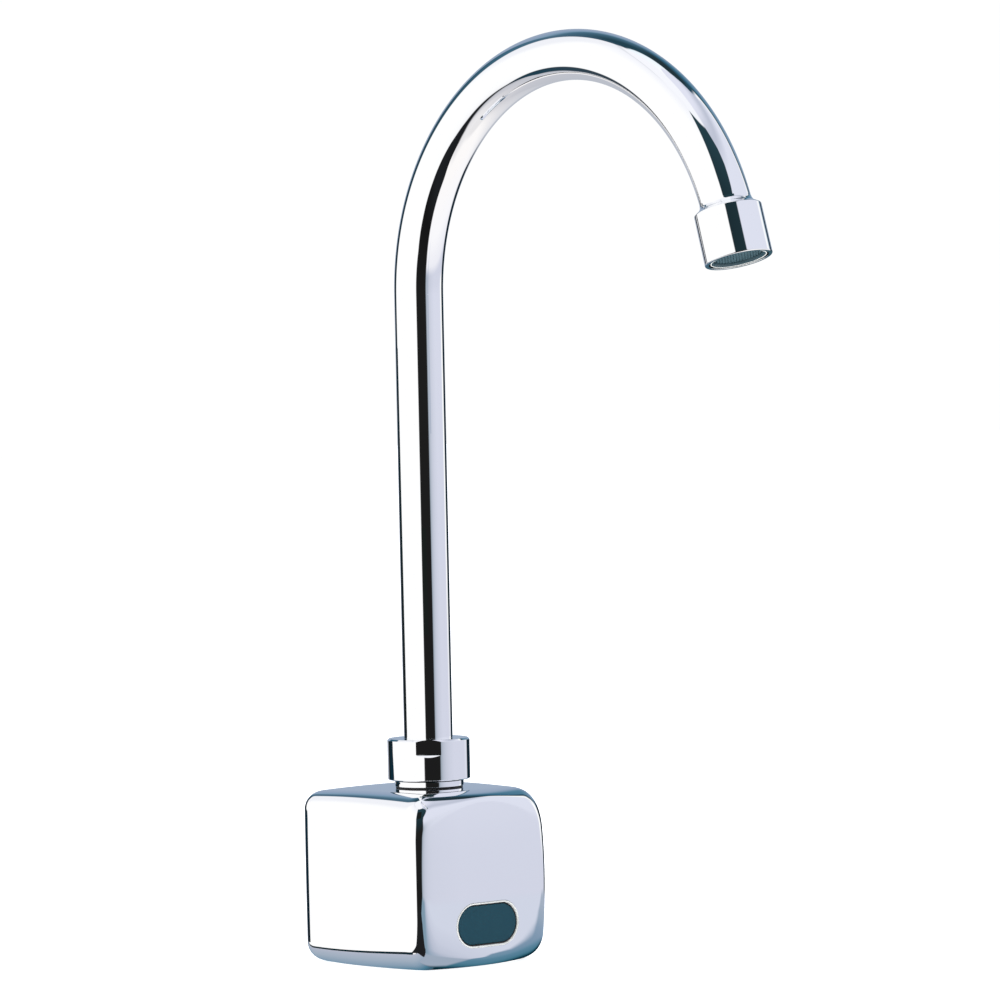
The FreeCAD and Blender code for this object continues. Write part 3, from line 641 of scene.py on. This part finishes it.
def highlight_ring(name):
    """Pale ring let into the casting round the window, slightly proud of it: a painted highlight standing in for the
    bright ring of light round the window.
    """
    prof = [(0.02, 1.4), (0.02, 0.35), (0.05, 0.05), (0.13, -0.09), (0.26, -0.16), (0.4, -0.16), (0.52, -0.09),
            (HIGHLIGHT_RING_W - 0.02, 0.06), (HIGHLIGHT_RING_W - 0.02, 1.4)]
    rings = [round_window(off, d) for off, d in prof]
    n, m = len(rings[0]), len(rings)
    faces = [(i * n + k, i * n + (k + 1) % n, (i + 1) % m * n + (k + 1) % n, (i + 1) % m * n + k) for i in range(m) for k in range(n)]
    ob = new_object(name, [p for r in rings for p in r], faces)
    fix_outward(ob)
    smooth_within(ob.data, 50)
    return ob


# the pale ring round the window is a painted highlight
highlight_trim = highlight_ring("window_highlight_ring")
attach(highlight_trim, "body")
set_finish(highlight_trim, "white_acetal")


def gasket(name):
    st = stadium(WIN_W - 0.9, WIN_H - 0.9, 40, 24)
    prof = [(0.02, -23.3), (0.42, -23.3), (0.42, -26.6), (0.37, -26.72), (0.22, -26.8), (0.08, -26.72), (0.02, -26.6)]
    n, m = len(st), len(prof)
    verts, faces = [], []
    for off, y in prof:
        for x, z, nx, nz in st:
            verts.append((x + nx * off, y, WIN_Z + z + nz * off))
    for i in range(m):
        i2 = (i + 1) % m
        for k in range(n):
            k2 = (k + 1) % n
            faces.append((i * n + k, i * n + k2, i2 * n + k2, i2 * n + k))
    ob = new_object(name, verts, faces)
    fix_outward(ob)
    smooth_within(ob.data, 40)
    return ob


seal = gasket("window_seal")
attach(seal, "body")
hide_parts("window_gasket")
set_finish(seal, "black_rubber")


# ------------------------------------------------------------------ materials
def material(name, color, metallic=0.0, roughness=0.4):
    m = bpy.data.materials.new(name)
    m.use_nodes = True
    b = m.node_tree.nodes["Principled BSDF"]
    b.inputs["Base Color"].default_value = (*color, 1.0)
    b.inputs["Metallic"].default_value = metallic
    b.inputs["Roughness"].default_value = roughness
    return m, m.node_tree, b


def noise(nt, scale, detail=2.0, rough=0.5, stretch=None, distortion=0.0):
    tc = nt.nodes.new("ShaderNodeTexCoord")
    n = nt.nodes.new("ShaderNodeTexNoise")
    n.inputs["Scale"].default_value = scale
    n.inputs["Detail"].default_value = detail
    n.inputs["Roughness"].default_value = rough
    n.inputs["Distortion"].default_value = distortion
    src = tc.outputs["Object"]
    if stretch:
        mp = nt.nodes.new("ShaderNodeMapping")
        mp.inputs["Scale"].default_value = stretch
        nt.links.new(src, mp.inputs["Vector"])
        src = mp.outputs["Vector"]
    nt.links.new(src, n.inputs["Vector"])
    return n.outputs["Fac"]


def remap(nt, value, a, b, c, d):
    r = nt.nodes.new("ShaderNodeMapRange")
    for i, v in enumerate((a, b, c, d)):
        r.inputs[i + 1].default_value = v
    nt.links.new(value, r.inputs[0])
    return r.outputs[0]


def math_node(nt, op, a, b):
    n = nt.nodes.new("ShaderNodeMath")
    n.operation = op
    for i, v in enumerate((a, b)):
        if isinstance(v, (int, float)):
            n.inputs[i].default_value = v
        else:
            nt.links.new(v, n.inputs[i])
    return n.outputs[0]


def mix_color(nt, fac, c0, c1):
    n = nt.nodes.new("ShaderNodeMix")
    n.data_type = "RGBA"
    nt.links.new(fac, n.inputs["Factor"])
    for i, c in ((6, c0), (7, c1)):
        if isinstance(c, tuple):
            n.inputs[i].default_value = (*c, 1.0)
        else:
            nt.links.new(c, n.inputs[i])
    return n.outputs[2]


def bump(nt, b, height, strength, distance):
    n = nt.nodes.new("ShaderNodeBump")
    n.inputs["Strength"].default_value = strength
    n.inputs["Distance"].default_value = distance
    nt.links.new(height, n.inputs["Height"])
    nt.links.new(n.outputs["Normal"], b.inputs["Normal"])


def chrome():
    """Bright plate: tiny polishing swirls, a trace of waviness, faint wipe marks."""
    m, nt, b = material("polished_chrome", (0.97, 0.975, 0.985), 1.0, 0.02)
    fine = noise(nt, 1400.0, 3.0, 0.6)
    wipe = noise(nt, 60.0, 4.0, 0.6, (1.0, 1.0, 6.0), 1.5)
    r = math_node(nt, "ADD", remap(nt, fine, 0.35, 0.75, 0.012, 0.03), remap(nt, wipe, 0.55, 0.8, 0.0, 0.03))
    nt.links.new(r, b.inputs["Roughness"])
    wavy = noise(nt, 45.0, 1.0, 0.4)
    h = math_node(nt, "ADD", math_node(nt, "MULTIPLY", fine, 0.012), wavy)
    bump(nt, b, h, 0.5, 0.00006)
    return m


def metal(name, color, rough, grain, stretch=None, depth=0.00002, tint=None):
    m, nt, b = material(name, color, 1.0, rough)
    g = noise(nt, grain, 4.0, 0.6, stretch)
    big = noise(nt, 90.0, 3.0, 0.6)
    nt.links.new(remap(nt, g, 0.3, 0.7, rough * 0.75, rough * 1.4), b.inputs["Roughness"])
    dark = tint or tuple(c * 0.72 for c in color)
    nt.links.new(mix_color(nt, remap(nt, big, 0.45, 0.8, 0.0, 0.6), color, dark), b.inputs["Base Color"])
    bump(nt, b, g, 0.5, depth)
    return m


def plastic(name, color, rough, grain=1800.0, depth=0.00003, spec=0.5, tint=None, coat=0.0):
    m, nt, b = material(name, color, 0.0, rough)
    g = noise(nt, grain, 3.0, 0.6)
    big = noise(nt, 120.0, 3.0, 0.6)
    nt.links.new(remap(nt, big, 0.35, 0.75, rough * 0.85, min(1.0, rough * 1.25)), b.inputs["Roughness"])
    nt.links.new(mix_color(nt, remap(nt, big, 0.45, 0.8, 0.0, 0.5), color, tint or tuple(c * 0.8 for c in color)), b.inputs["Base Color"])
    b.inputs["Specular IOR Level"].default_value = spec
    b.inputs["Coat Weight"].default_value = coat
    b.inputs["Coat Roughness"].default_value = 0.04
    bump(nt, b, g, 0.4, depth)
    return m


MATS = {
    "polished_chrome": chrome(),
    "bare_brass": metal("bare_brass", (0.72, 0.50, 0.20), 0.28, 900.0, (1, 1, 0.15), tint=(0.46, 0.30, 0.12)),
    "stainless_steel": metal("stainless_steel", (0.62, 0.61, 0.60), 0.25, 1500.0, (1, 1, 0.1)),
    "black_rubber": plastic("black_rubber", (0.018, 0.019, 0.021), 0.55, 2600.0, 0.00004, 0.35, (0.035, 0.036, 0.038)),
    "white_acetal": plastic("white_acetal", (0.78, 0.78, 0.74), 0.35, 2000.0),
    "black_housing": plastic("black_housing", (0.03, 0.03, 0.034), 0.5, 3000.0, 0.00006),
    "window_plastic": plastic("window_plastic", (0.008, 0.050, 0.072), 0.12, 900.0, 0.000006, 0.22, (0.010, 0.058, 0.080)),
    "copper_wire": metal("copper_wire", (0.62, 0.26, 0.12), 0.3, 60.0, (1, 1, 60.0), 0.0002),
    "circuit_board": plastic("circuit_board", (0.02, 0.13, 0.06), 0.3, 700.0),
    "diode_resin": plastic("diode_resin", (0.05, 0.05, 0.07), 0.08, 500.0, 0.00001),
    "aerator_plastic": plastic("aerator_plastic", (0.030, 0.066, 0.082), 0.3, 1600.0, 0.00001, 0.35, (0.022, 0.050, 0.064)),
    "aerator_mesh": metal("aerator_mesh", (0.15, 0.26, 0.30), 0.34, 2400.0, None, 0.00001, (0.09, 0.17, 0.20)),
}
slots = {s["node"]: s["material_slot"] for s in frame["record"]["subparts"]}
for node, ob in NODES.items():
    ob.data.materials.clear()
    ob.data.materials.append(MATS[slots[node]])
    if not ob.hide_render:
        for poly in ob.data.polygons:
            poly.use_smooth = poly.use_smooth
for ob in (body, gooseneck, neck, collar, outlet, aer, glint_lip, screen, pane, highlight_trim, seal):
    ob.data.materials.clear()
    ob.data.materials.append(MATS[ob["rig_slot"]])


# ------------------------------------------------------------------ studio
def srgb(r, g, b):
    """Linear light from 0-255 display values."""
    return tuple(((c / 255.0 + 0.055) / 1.055) ** 2.4 if c > 10 else c / 255.0 / 12.92 for c in (r, g, b))


class Graph:
    """Small helper for building a light map out of math nodes."""

    def __init__(self, nt):
        self.nt = nt

    def op(self, kind, *args):
        n = self.nt.nodes.new("ShaderNodeMath")
        n.operation = kind
        for i, v in enumerate(args):
            if isinstance(v, (int, float)):
                n.inputs[i].default_value = v
            else:
                self.nt.links.new(v, n.inputs[i])
        return n.outputs[0]

    def step(self, x, edge, width):
        """0 below edge, 1 above it, over +-width."""
        d = self.op("SUBTRACT", x, edge)
        n = self.nt.nodes.new("ShaderNodeMapRange")
        n.interpolation_type = "SMOOTHSTEP"
        n.inputs["From Min"].default_value = -width
        n.inputs["From Max"].default_value = width
        self.nt.links.new(d, n.inputs["Value"])
        return n.outputs["Result"]

    def below(self, x, edge, width):
        return self.op("SUBTRACT", 1.0, self.step(x, edge, width))

    def both(self, *masks):
        m = masks[0]
        for k in masks[1:]:
            m = self.op("MULTIPLY", m, k)
        return m

    def ramp(self, x, lo, hi, stops):
        """Colour ramp of x over lo..hi, from (position, colour) stops."""
        n = self.nt.nodes.new("ShaderNodeMapRange")
        n.inputs["From Min"].default_value = lo
        n.inputs["From Max"].default_value = hi
        self.nt.links.new(x, n.inputs["Value"])
        r = self.nt.nodes.new("ShaderNodeValToRGB")
        self.nt.links.new(n.outputs["Result"], r.inputs["Fac"])
        e = r.color_ramp.elements
        while len(e) < len(stops):
            e.new(0.5)
        for k, (p, c) in enumerate(sorted(stops, key=lambda s: s[0])):
            e[k].position = min(1.0, max(0.0, (p - lo) / (hi - lo)))
            e[k].color = (*c, 1.0)
        return r.outputs["Color"]

    def curve(self, x, stops, lo=-90.0, hi=90.0, v0=-180.0, v1=180.0):
        """Piecewise linear value of x."""
        c = self.ramp(x, lo, hi, [(p, ((v - v0) / (v1 - v0),) * 3) for p, v in stops])
        return self.op("ADD", self.op("MULTIPLY", c, v1 - v0), v0)

    def mix(self, fac, a, b):
        n = self.nt.nodes.new("ShaderNodeMix")
        n.data_type = "RGBA"
        n.clamp_factor = True
        self.nt.links.new(fac, n.inputs["Factor"])
        for i, c in ((6, a), (7, b)):
            if isinstance(c, tuple):
                n.inputs[i].default_value = (*c, 1.0)
            else:
                self.nt.links.new(c, n.inputs[i])
        return n.outputs[2]

    def el_colors(self, el, stops):
        return self.ramp(el, -90.0, 90.0, [(p, srgb(*c)) for p, c in stops])


def studio_light(g, direction):
    """Light arriving from each direction. Turn is counted from the camera's side, positive to its right;
    height is above the horizon. Both in degrees."""
    sep = g.nt.nodes.new("ShaderNodeSeparateXYZ")
    g.nt.links.new(direction, sep.inputs[0])
    x, y, z = sep.outputs
    c = g.op("ADD", g.op("MULTIPLY", x, math.sin(AZ)), g.op("MULTIPLY", y, -math.cos(AZ)))
    s = g.op("ADD", g.op("MULTIPLY", x, math.cos(AZ)), g.op("MULTIPLY", y, math.sin(AZ)))
    turn = g.op("MULTIPLY", g.op("ARCTAN2", s, c), 180.0 / math.pi)
    el = g.op("MULTIPLY", g.op("ARCSINE", z), 180.0 / math.pi)
    away = g.op("ABSOLUTE", turn)
    # behind the tap: blue-grey wall that falls off to a dark teal upper half, white ceiling
    col = g.el_colors(el, [(-90, (222, 219, 221)), (-55, (196, 197, 204)), (-4, (182, 187, 197)), (2, (159, 174, 194)),
                           (30, (145, 162, 186)), (38, (126, 154, 178)), (44, (70, 107, 129)), (60, (35, 65, 78))])
    # right of it the wall is darker, darkest beside the right hand wall
    d_edge = g.curve(el, [(-90, 134), (15, 134), (25, 132), (36, 137), (45, 139), (58, 126), (66, 134), (90, 180)])
    dusk = g.el_colors(el, [(12, (141, 166, 188)), (20, (115, 140, 165)), (30, (87, 129, 153)), (38, (56, 103, 129)), (52, (34, 51, 58))])
    past = g.op("SUBTRACT", turn, d_edge)
    dusk = g.mix(g.both(g.below(past, 7.0, 3.0), g.step(el, 15.0, 3.0)), dusk, srgb(38, 70, 85))
    col = g.mix(g.both(g.step(turn, 110.0, 5.0), g.below(turn, 168.0, 8.0), g.step(el, 9.0, 3.0)), col, dusk)
    ceiling = g.ramp(el, 71.0, 90.0, [(71, srgb(236, 247, 253)), (90, srgb(254, 254, 253))])
    col = g.mix(g.step(el, 70.0, 1.2), col, ceiling)
    # high front: pale right up to the ceiling
    high = g.both(g.step(el, 62.8, 1.2), g.step(turn, -136.0, 6.0))
    col = g.mix(g.both(high, g.below(turn, d_edge, 2.5)), col, srgb(246, 247, 252))
    # right hand wall
    wall = g.el_colors(el, [(-60, (252, 249, 248)), (-26, (249, 248, 250)), (-12, (236, 236, 243)), (-8, (208, 211, 226)), (-3, (209, 212, 227)),
                            (5, (219, 222, 236)), (44, (221, 224, 238)), (56, (190, 195, 211))])
    wall = g.mix(g.step(el, 66.0, 9.0), wall, srgb(224, 226, 240))
    bright = g.both(g.step(turn, 121.0, 2.5), g.below(el, 18.0, 6.0), g.step(el, -3.4, 1.6))
    bright = g.op("MAXIMUM", bright, g.both(g.step(past, -5.0, 1.0), g.step(el, 12.0, 4.0), g.below(el, 50.0, 4.0)))
    wall = g.mix(bright, wall, srgb(254, 255, 255))
    dim = g.ramp(turn, 34.0, 76.0, [(34, (1, 1, 1)), (42, (0.5, 0.5, 0.5)), (50, (0.27, 0.27, 0.27)), (60, (0.12, 0.12, 0.12)), (76, (0, 0, 0))])
    wall = g.mix(g.both(dim, g.step(el, -10.0, 4.0), g.below(el, 14.0, 8.0)), wall, srgb(150, 162, 174))
    c_low = g.curve(el, [(-90, -60), (-68, -20), (-56, 22), (-15, 34)])
    c_high = g.curve(el, [(8, 0), (25, -6), (31, -5), (38, 3), (47, 10), (54, 9), (62, -4)])
    c_edge = g.op("ADD", c_low, c_high)
    low = g.below(el, -23.0, 3.0)
    sharp_end = g.below(turn, d_edge, 2.5)
    soft_end = g.below(turn, 158.0, 34.0)
    end = g.op("ADD", g.op("MULTIPLY", low, soft_end), g.op("MULTIPLY", g.op("SUBTRACT", 1.0, low), sharp_end))
    col = g.mix(g.both(g.step(turn, g.op("SUBTRACT", c_edge, 3.0), 3.0), end), col, wall)
    # low front, between the two sides
    front = g.el_colors(el, [(-90, (229, 227, 229)), (-78, (236, 234, 235)), (-64, (226, 224, 226)), (90, (226, 224, 226))])
    col = g.mix(g.both(g.below(el, -64.0, 4.0), g.step(turn, -100.0, 40.0), g.below(turn, 20.0, 30.0)), col, front)
    col = g.mix(g.both(high, g.below(turn, 24.0, 20.0)), col, srgb(246, 247, 252))
    # dark frame round the large white panel at the left
    a_out = g.curve(el, [(-54, -80), (-48, -122), (-35, -134), (-6, -142), (-2.5, -157), (12, -151), (22, -156), (38, -147)])
    b_edge = g.curve(el, [(-60, -60), (-45, -47), (-35, -31), (-25, -20), (-15, -12), (8, -11), (24, -14), (34, -18)])
    frame_col = g.el_colors(el, [(-45, (30, 62, 78)), (-15, (58, 64, 72)), (-5, (20, 28, 30)), (5, (20, 44, 56)), (15, (38, 70, 86)),
                                 (30, (60, 100, 122)), (42, (74, 105, 125)), (60, (45, 75, 92))])
    col = g.mix(g.both(g.step(turn, a_out, 3.0), g.below(turn, -60.0, 12.0), g.step(el, -54.0, 4.0), g.below(el, 67.0, 2.0)), col, frame_col)
    # black opening in front
    dark = g.el_colors(el, [(-90, (18, 20, 23)), (-45, (30, 32, 35)), (-30, (21, 21, 22)), (8, (31, 31, 31)), (22, (28, 44, 50)),
                            (55, (36, 61, 70))])
    low_edge = g.curve(turn, [(-95, -53), (-60, -61), (-40, -66), (-20, -67), (0, -65), (12, -61), (30, -50)], -180.0, 180.0)
    black = g.both(g.step(turn, -98.0, 20.0), g.below(turn, c_edge, 2.0), g.step(el, low_edge, 2.5), g.below(el, 62.8, 1.2))
    col = g.mix(black, col, dark)
    # the white panel
    a_in = g.curve(el, [(-60, -80), (-44, -101), (-25, -122), (-8, -136), (-4, -134), (3, -129), (14, -127), (43, -133)])
    panel = g.el_colors(el, [(-48, (244, 244, 246)), (-38, (253, 253, 253)), (-20, (255, 255, 255)), (44, (255, 255, 255)),
                             (65, (243, 244, 250)), (90, (255, 255, 255))])
    rim = g.both(g.below(turn, -108.0, 6.0), g.step(el, 22.0, 8.0))
    panel = g.mix(rim, panel, srgb(240, 241, 246))
    bottom = g.curve(turn, [(-110, -46), (-95, -49), (-60, -50), (-48, -47)], -180.0, 180.0)
    col = g.mix(g.both(g.step(turn, a_in, 2.0), g.below(turn, b_edge, 1.6), g.step(el, bottom, 1.6), g.below(el, 68.0, 4.0)), col, panel)
    # far right: dark gap between the wall and the back
    gap_r = g.curve(el, [(-24, 142), (-18, 156), (-12, 162), (0, 166), (9, 151)])
    gap = g.both(g.step(turn, g.curve(el, [(-22, 141), (-14, 135), (4, 134), (12, 141)]), 2.0), g.below(turn, gap_r, 5.0),
                 g.step(el, -23.0, 3.0), g.below(el, 14.0, 3.0))
    col = g.mix(gap, col, srgb(14, 33, 44))
    # straight down everything runs into one tone
    return g.mix(g.below(el, -80.0, 4.0), col, srgb(232, 230, 231))


def studio_world():
    w = bpy.data.worlds.new("studio")
    w.use_nodes = True
    SCENE.world = w
    nt = w.node_tree
    nt.nodes.clear()
    g = Graph(nt)
    tc = nt.nodes.new("ShaderNodeTexCoord")
    room = nt.nodes.new("ShaderNodeBackground")
    nt.links.new(studio_light(g, tc.outputs["Generated"]), room.inputs["Color"])
    room.inputs["Strength"].default_value = 1.035
    plain = nt.nodes.new("ShaderNodeBackground")
    plain.inputs["Color"].default_value = (1, 1, 1, 1)
    plain.inputs["Strength"].default_value = 1.02
    lp = nt.nodes.new("ShaderNodeLightPath")
    mx = nt.nodes.new("ShaderNodeMixShader")
    nt.links.new(lp.outputs["Is Camera Ray"], mx.inputs[0])
    nt.links.new(room.outputs[0], mx.inputs[1])
    nt.links.new(plain.outputs[0], mx.inputs[2])
    out = nt.nodes.new("ShaderNodeOutputWorld")
    nt.links.new(mx.outputs[0], out.inputs["Surface"])


studio_world()

floor = new_object("floor", [(-9000, -9000, 0), (9000, -9000, 0), (9000, 9000, 0), (-9000, 9000, 0)], [(0, 1, 2, 3)])
fm, fnt, fb = material("pale_floor", (0.96, 0.96, 0.965), 0.0, 0.85)
fb.inputs["Specular IOR Level"].default_value = 0.0
fb.inputs["Emission Color"].default_value = (1.0, 1.0, 1.0, 1.0)
fb.inputs["Emission Strength"].default_value = 0.85
fm.cycles.emission_sampling = "NONE"
floor.data.materials.append(fm)
floor.visible_glossy = False


def painted_reflection_card(name, corners, tone, reach):
    """Glowing flat card, no lamp, that only mirror reflections from closer than reach see: its colours are a painted
    reflection. tone gives its colour from x and y in mm.
    """
    ob = new_object(name, corners, [tuple(range(len(corners)))])
    m = bpy.data.materials.new(name)
    m.use_nodes = True
    nt = m.node_tree
    nt.nodes.clear()
    g = Graph(nt)
    tc = nt.nodes.new("ShaderNodeTexCoord")
    sep = nt.nodes.new("ShaderNodeSeparateXYZ")
    nt.links.new(tc.outputs["Object"], sep.inputs[0])
    glow = nt.nodes.new("ShaderNodeEmission")
    col = tone(g, *[g.op("DIVIDE", sep.outputs[k], S) for k in (0, 1, 2)])
    if isinstance(col, tuple):
        glow.inputs["Color"].default_value = (*col, 1.0)
    else:
        nt.links.new(col, glow.inputs["Color"])
    clear = nt.nodes.new("ShaderNodeBsdfTransparent")
    far = g.step(nt.nodes.new("ShaderNodeLightPath").outputs["Ray Length"], reach * 0.88, reach * 0.12)
    mx = nt.nodes.new("ShaderNodeMixShader")
    nt.links.new(far, mx.inputs[0])
    nt.links.new(glow.outputs[0], mx.inputs[1])
    nt.links.new(clear.outputs[0], mx.inputs[2])
    out = nt.nodes.new("ShaderNodeOutputMaterial")
    nt.links.new(mx.outputs[0], out.inputs["Surface"])
    m.cycles.emission_sampling = "NONE"
    ob.data.materials.append(m)
    for kind in ("camera", "diffuse", "shadow", "transmission", "volume_scatter"):
        setattr(ob, "visible_" + kind, False)
    return ob


def level(z, *points):
    return [(x, y, z) for x, y in points]


def left_table_shade_tone(g, x, y, z):
    # table left of the body, with painted shade darkening towards the body
    return g.ramp(x, -34.0, -20.0, [(-34, srgb(180, 186, 202)), (-28, srgb(162, 176, 192)), (-25, srgb(138, 160, 180)),
                                    (-22, srgb(78, 126, 150)), (-20, srgb(55, 95, 115))])


def front_tone(g, x, y, z):
    """Pale table in front; beyond a curved line that runs out to the right, steel blue painted shade of the body on the
    table, darkest close under the body and lighter far to the right.
    """
    pale = g.ramp(x, -26.0, 25.0, [(-26, srgb(128, 154, 172)), (-20, srgb(158, 173, 192)), (-10, srgb(185, 192, 209)),
                                   (5, srgb(202, 207, 223)), (25, srgb(210, 215, 230))])
    pale = g.mix(g.step(y, -34.5, 2.5), pale, srgb(158, 171, 188))
    # steel blue painted shade, darkening to near black under the front of the body
    body_shade_near = g.ramp(y, -46.0, -22.0, [(-46, srgb(122, 148, 172)), (-34, srgb(102, 140, 163)), (-26, srgb(80, 125, 148)),
                                     (-24.4, srgb(62, 112, 132)), (-23, srgb(24, 70, 88)), (-22, srgb(5, 42, 52))])
    # painted shade lightening away to the right
    body_shade_far = g.ramp(x, 45.0, 160.0, [(45, srgb(122, 148, 172)), (80, srgb(136, 158, 181)), (110, srgb(152, 169, 188)), (160, srgb(166, 178, 195))])
    painted_body_shade = g.mix(g.step(x, 45.0, 18.0), body_shade_near, body_shade_far)
    line = g.op("ADD", g.curve(x, [(-26, -22.3), (-15, -24.5), (-8, -29), (0, -35.5), (15, -42.5)], -26.0, 15.0, -100.0, 0.0),
                g.curve(x, [(15, 0), (29, -2), (51, -10.5), (82, -24.5), (125, -39.5), (175, -43.5)], 15.0, 200.0, -100.0, 0.0))
    soft = g.ramp(x, 20.0, 110.0, [(20, (0, 0, 0)), (110, (1, 1, 1))])
    past = g.op("DIVIDE", g.op("SUBTRACT", y, line), g.op("ADD", g.op("MULTIPLY", soft, 7.0), 1.0))
    return g.mix(g.step(past, 0.4, 1.0), pale, painted_body_shade)


def flat_tone(*rgb):
    return lambda g, x, y, z: srgb(*rgb)


# table card at the left, seen only in mirror reflections, with painted shade of the body
painted_reflection_card("table_left", level(0.2, (-34.5, -28), (-26.5, -28), (-26.5, -22.5), (-19, -22.5), (-19, 80), (-34.5, 80)), left_table_shade_tone, 0.21)
# dark strip and dark patch, seen only in mirror reflections: painted dark reflections low at the left and in front
painted_reflection_card("dark_line_card", level(0.25, (-38.5, -20), (-34.5, -20), (-34.5, 80), (-38.5, 80)), flat_tone(20, 40, 48), 0.21)
painted_reflection_card("dark_patch_card", level(0.25, (-38, -17), (-34.5, -27), (-26.5, -30), (-28, -50), (-33, -65), (-38, -80), (-45, -100), (-60, -130),
                              (-100, -150), (-100, -80), (-60, -40)), flat_tone(31, 32, 34), 0.21)
# table card in front, seen only in mirror reflections, with painted shade of the body
painted_reflection_card("table_front", level(0.22, (-26.5, -28), (-26.5, -30), (-28, -50), (-33, -65), (-38, -80), (-45, -100), (-60, -130), (-60, -240),
                               (240, -240), (240, 80), (-19, 80), (-19, -22.5), (-26.5, -22.5)), front_tone, 0.21)
# small dark glowing card under the arch, a painted reflection that the rim of the outlet mirrors
painted_reflection_card("rim_card", [(-2, -91, 170), (58, -145, 170), (58, -145, 217), (-2, -91, 217)],
          lambda g, x, y, z: g.ramp(x, 0.0, 50.0, [(0, srgb(118, 140, 168)), (20, srgb(66, 98, 115)), (50, srgb(58, 88, 98))]), 0.095)


def toward(turn, x=0.0, y=0.0, reach=250.0):
    """Point at a distance from (x, y) in the direction counted from the camera's side."""
    t = math.radians(turn)
    c, s = math.cos(t), math.sin(t)
    return (x + reach * (c * math.sin(AZ) + s * math.cos(AZ)), y + reach * (-c * math.cos(AZ) + s * math.sin(AZ)))


# dark glowing upright beside the white panel, wider low down, a painted reflection that the body and the post mirror
# along their left edges
EDGE = [(-25, -107), (31, -108), (50, -117), (109, -121), (200, -127)]
painted_reflection_card("left_upright", [(*toward(turn, -6, 5), z) for z, turn in EDGE] + [(*toward(-135, -6, 5), z) for z in (200, -25)],
          lambda g, x, y, z: g.ramp(z, -25.0, 200.0, [(-25, srgb(10, 26, 34)), (45, srgb(16, 42, 56)), (60, srgb(26, 30, 31)), (200, srgb(24, 44, 50))]), 0.34)
# black glowing card above the front corner, a painted reflection for the top of the dark line down that corner
CX, CY = toward(2.5, -25, -24, 79)
painted_reflection_card("corner_card", [(*toward(-90, CX, CY, 20), 101), (*toward(90, CX, CY, 20), 101),
                          (*toward(90, *toward(180, CX, CY, 12), 20), 138), (*toward(-90, *toward(180, CX, CY, 12), 20), 138)],
          flat_tone(27, 31, 30), 0.16)


def soft_light(name, loc, size, watts, aim=(0, 0, 0.05)):
    """Large diffuse light that brightens the floor and the plain surfaces but is not mirrored."""
    d = bpy.data.lights.new(name, "AREA")
    d.shape, d.size, d.energy = "DISK", size, watts
    ob = bpy.data.objects.new(name, d)
    SCENE.collection.objects.link(ob)
    ob.location = loc
    ob.rotation_mode = "QUATERNION"
    ob.rotation_quaternion = (Vector(aim) - Vector(loc)).to_track_quat("-Z", "Y")
    ob.visible_glossy = False
    ob.visible_camera = False
    return ob


soft_light("overhead", (0.0, 0.0, 2.4), 3.2, 30.0)

SCENE.view_settings.view_transform = "Standard"
SCENE.view_settings.look = "None"
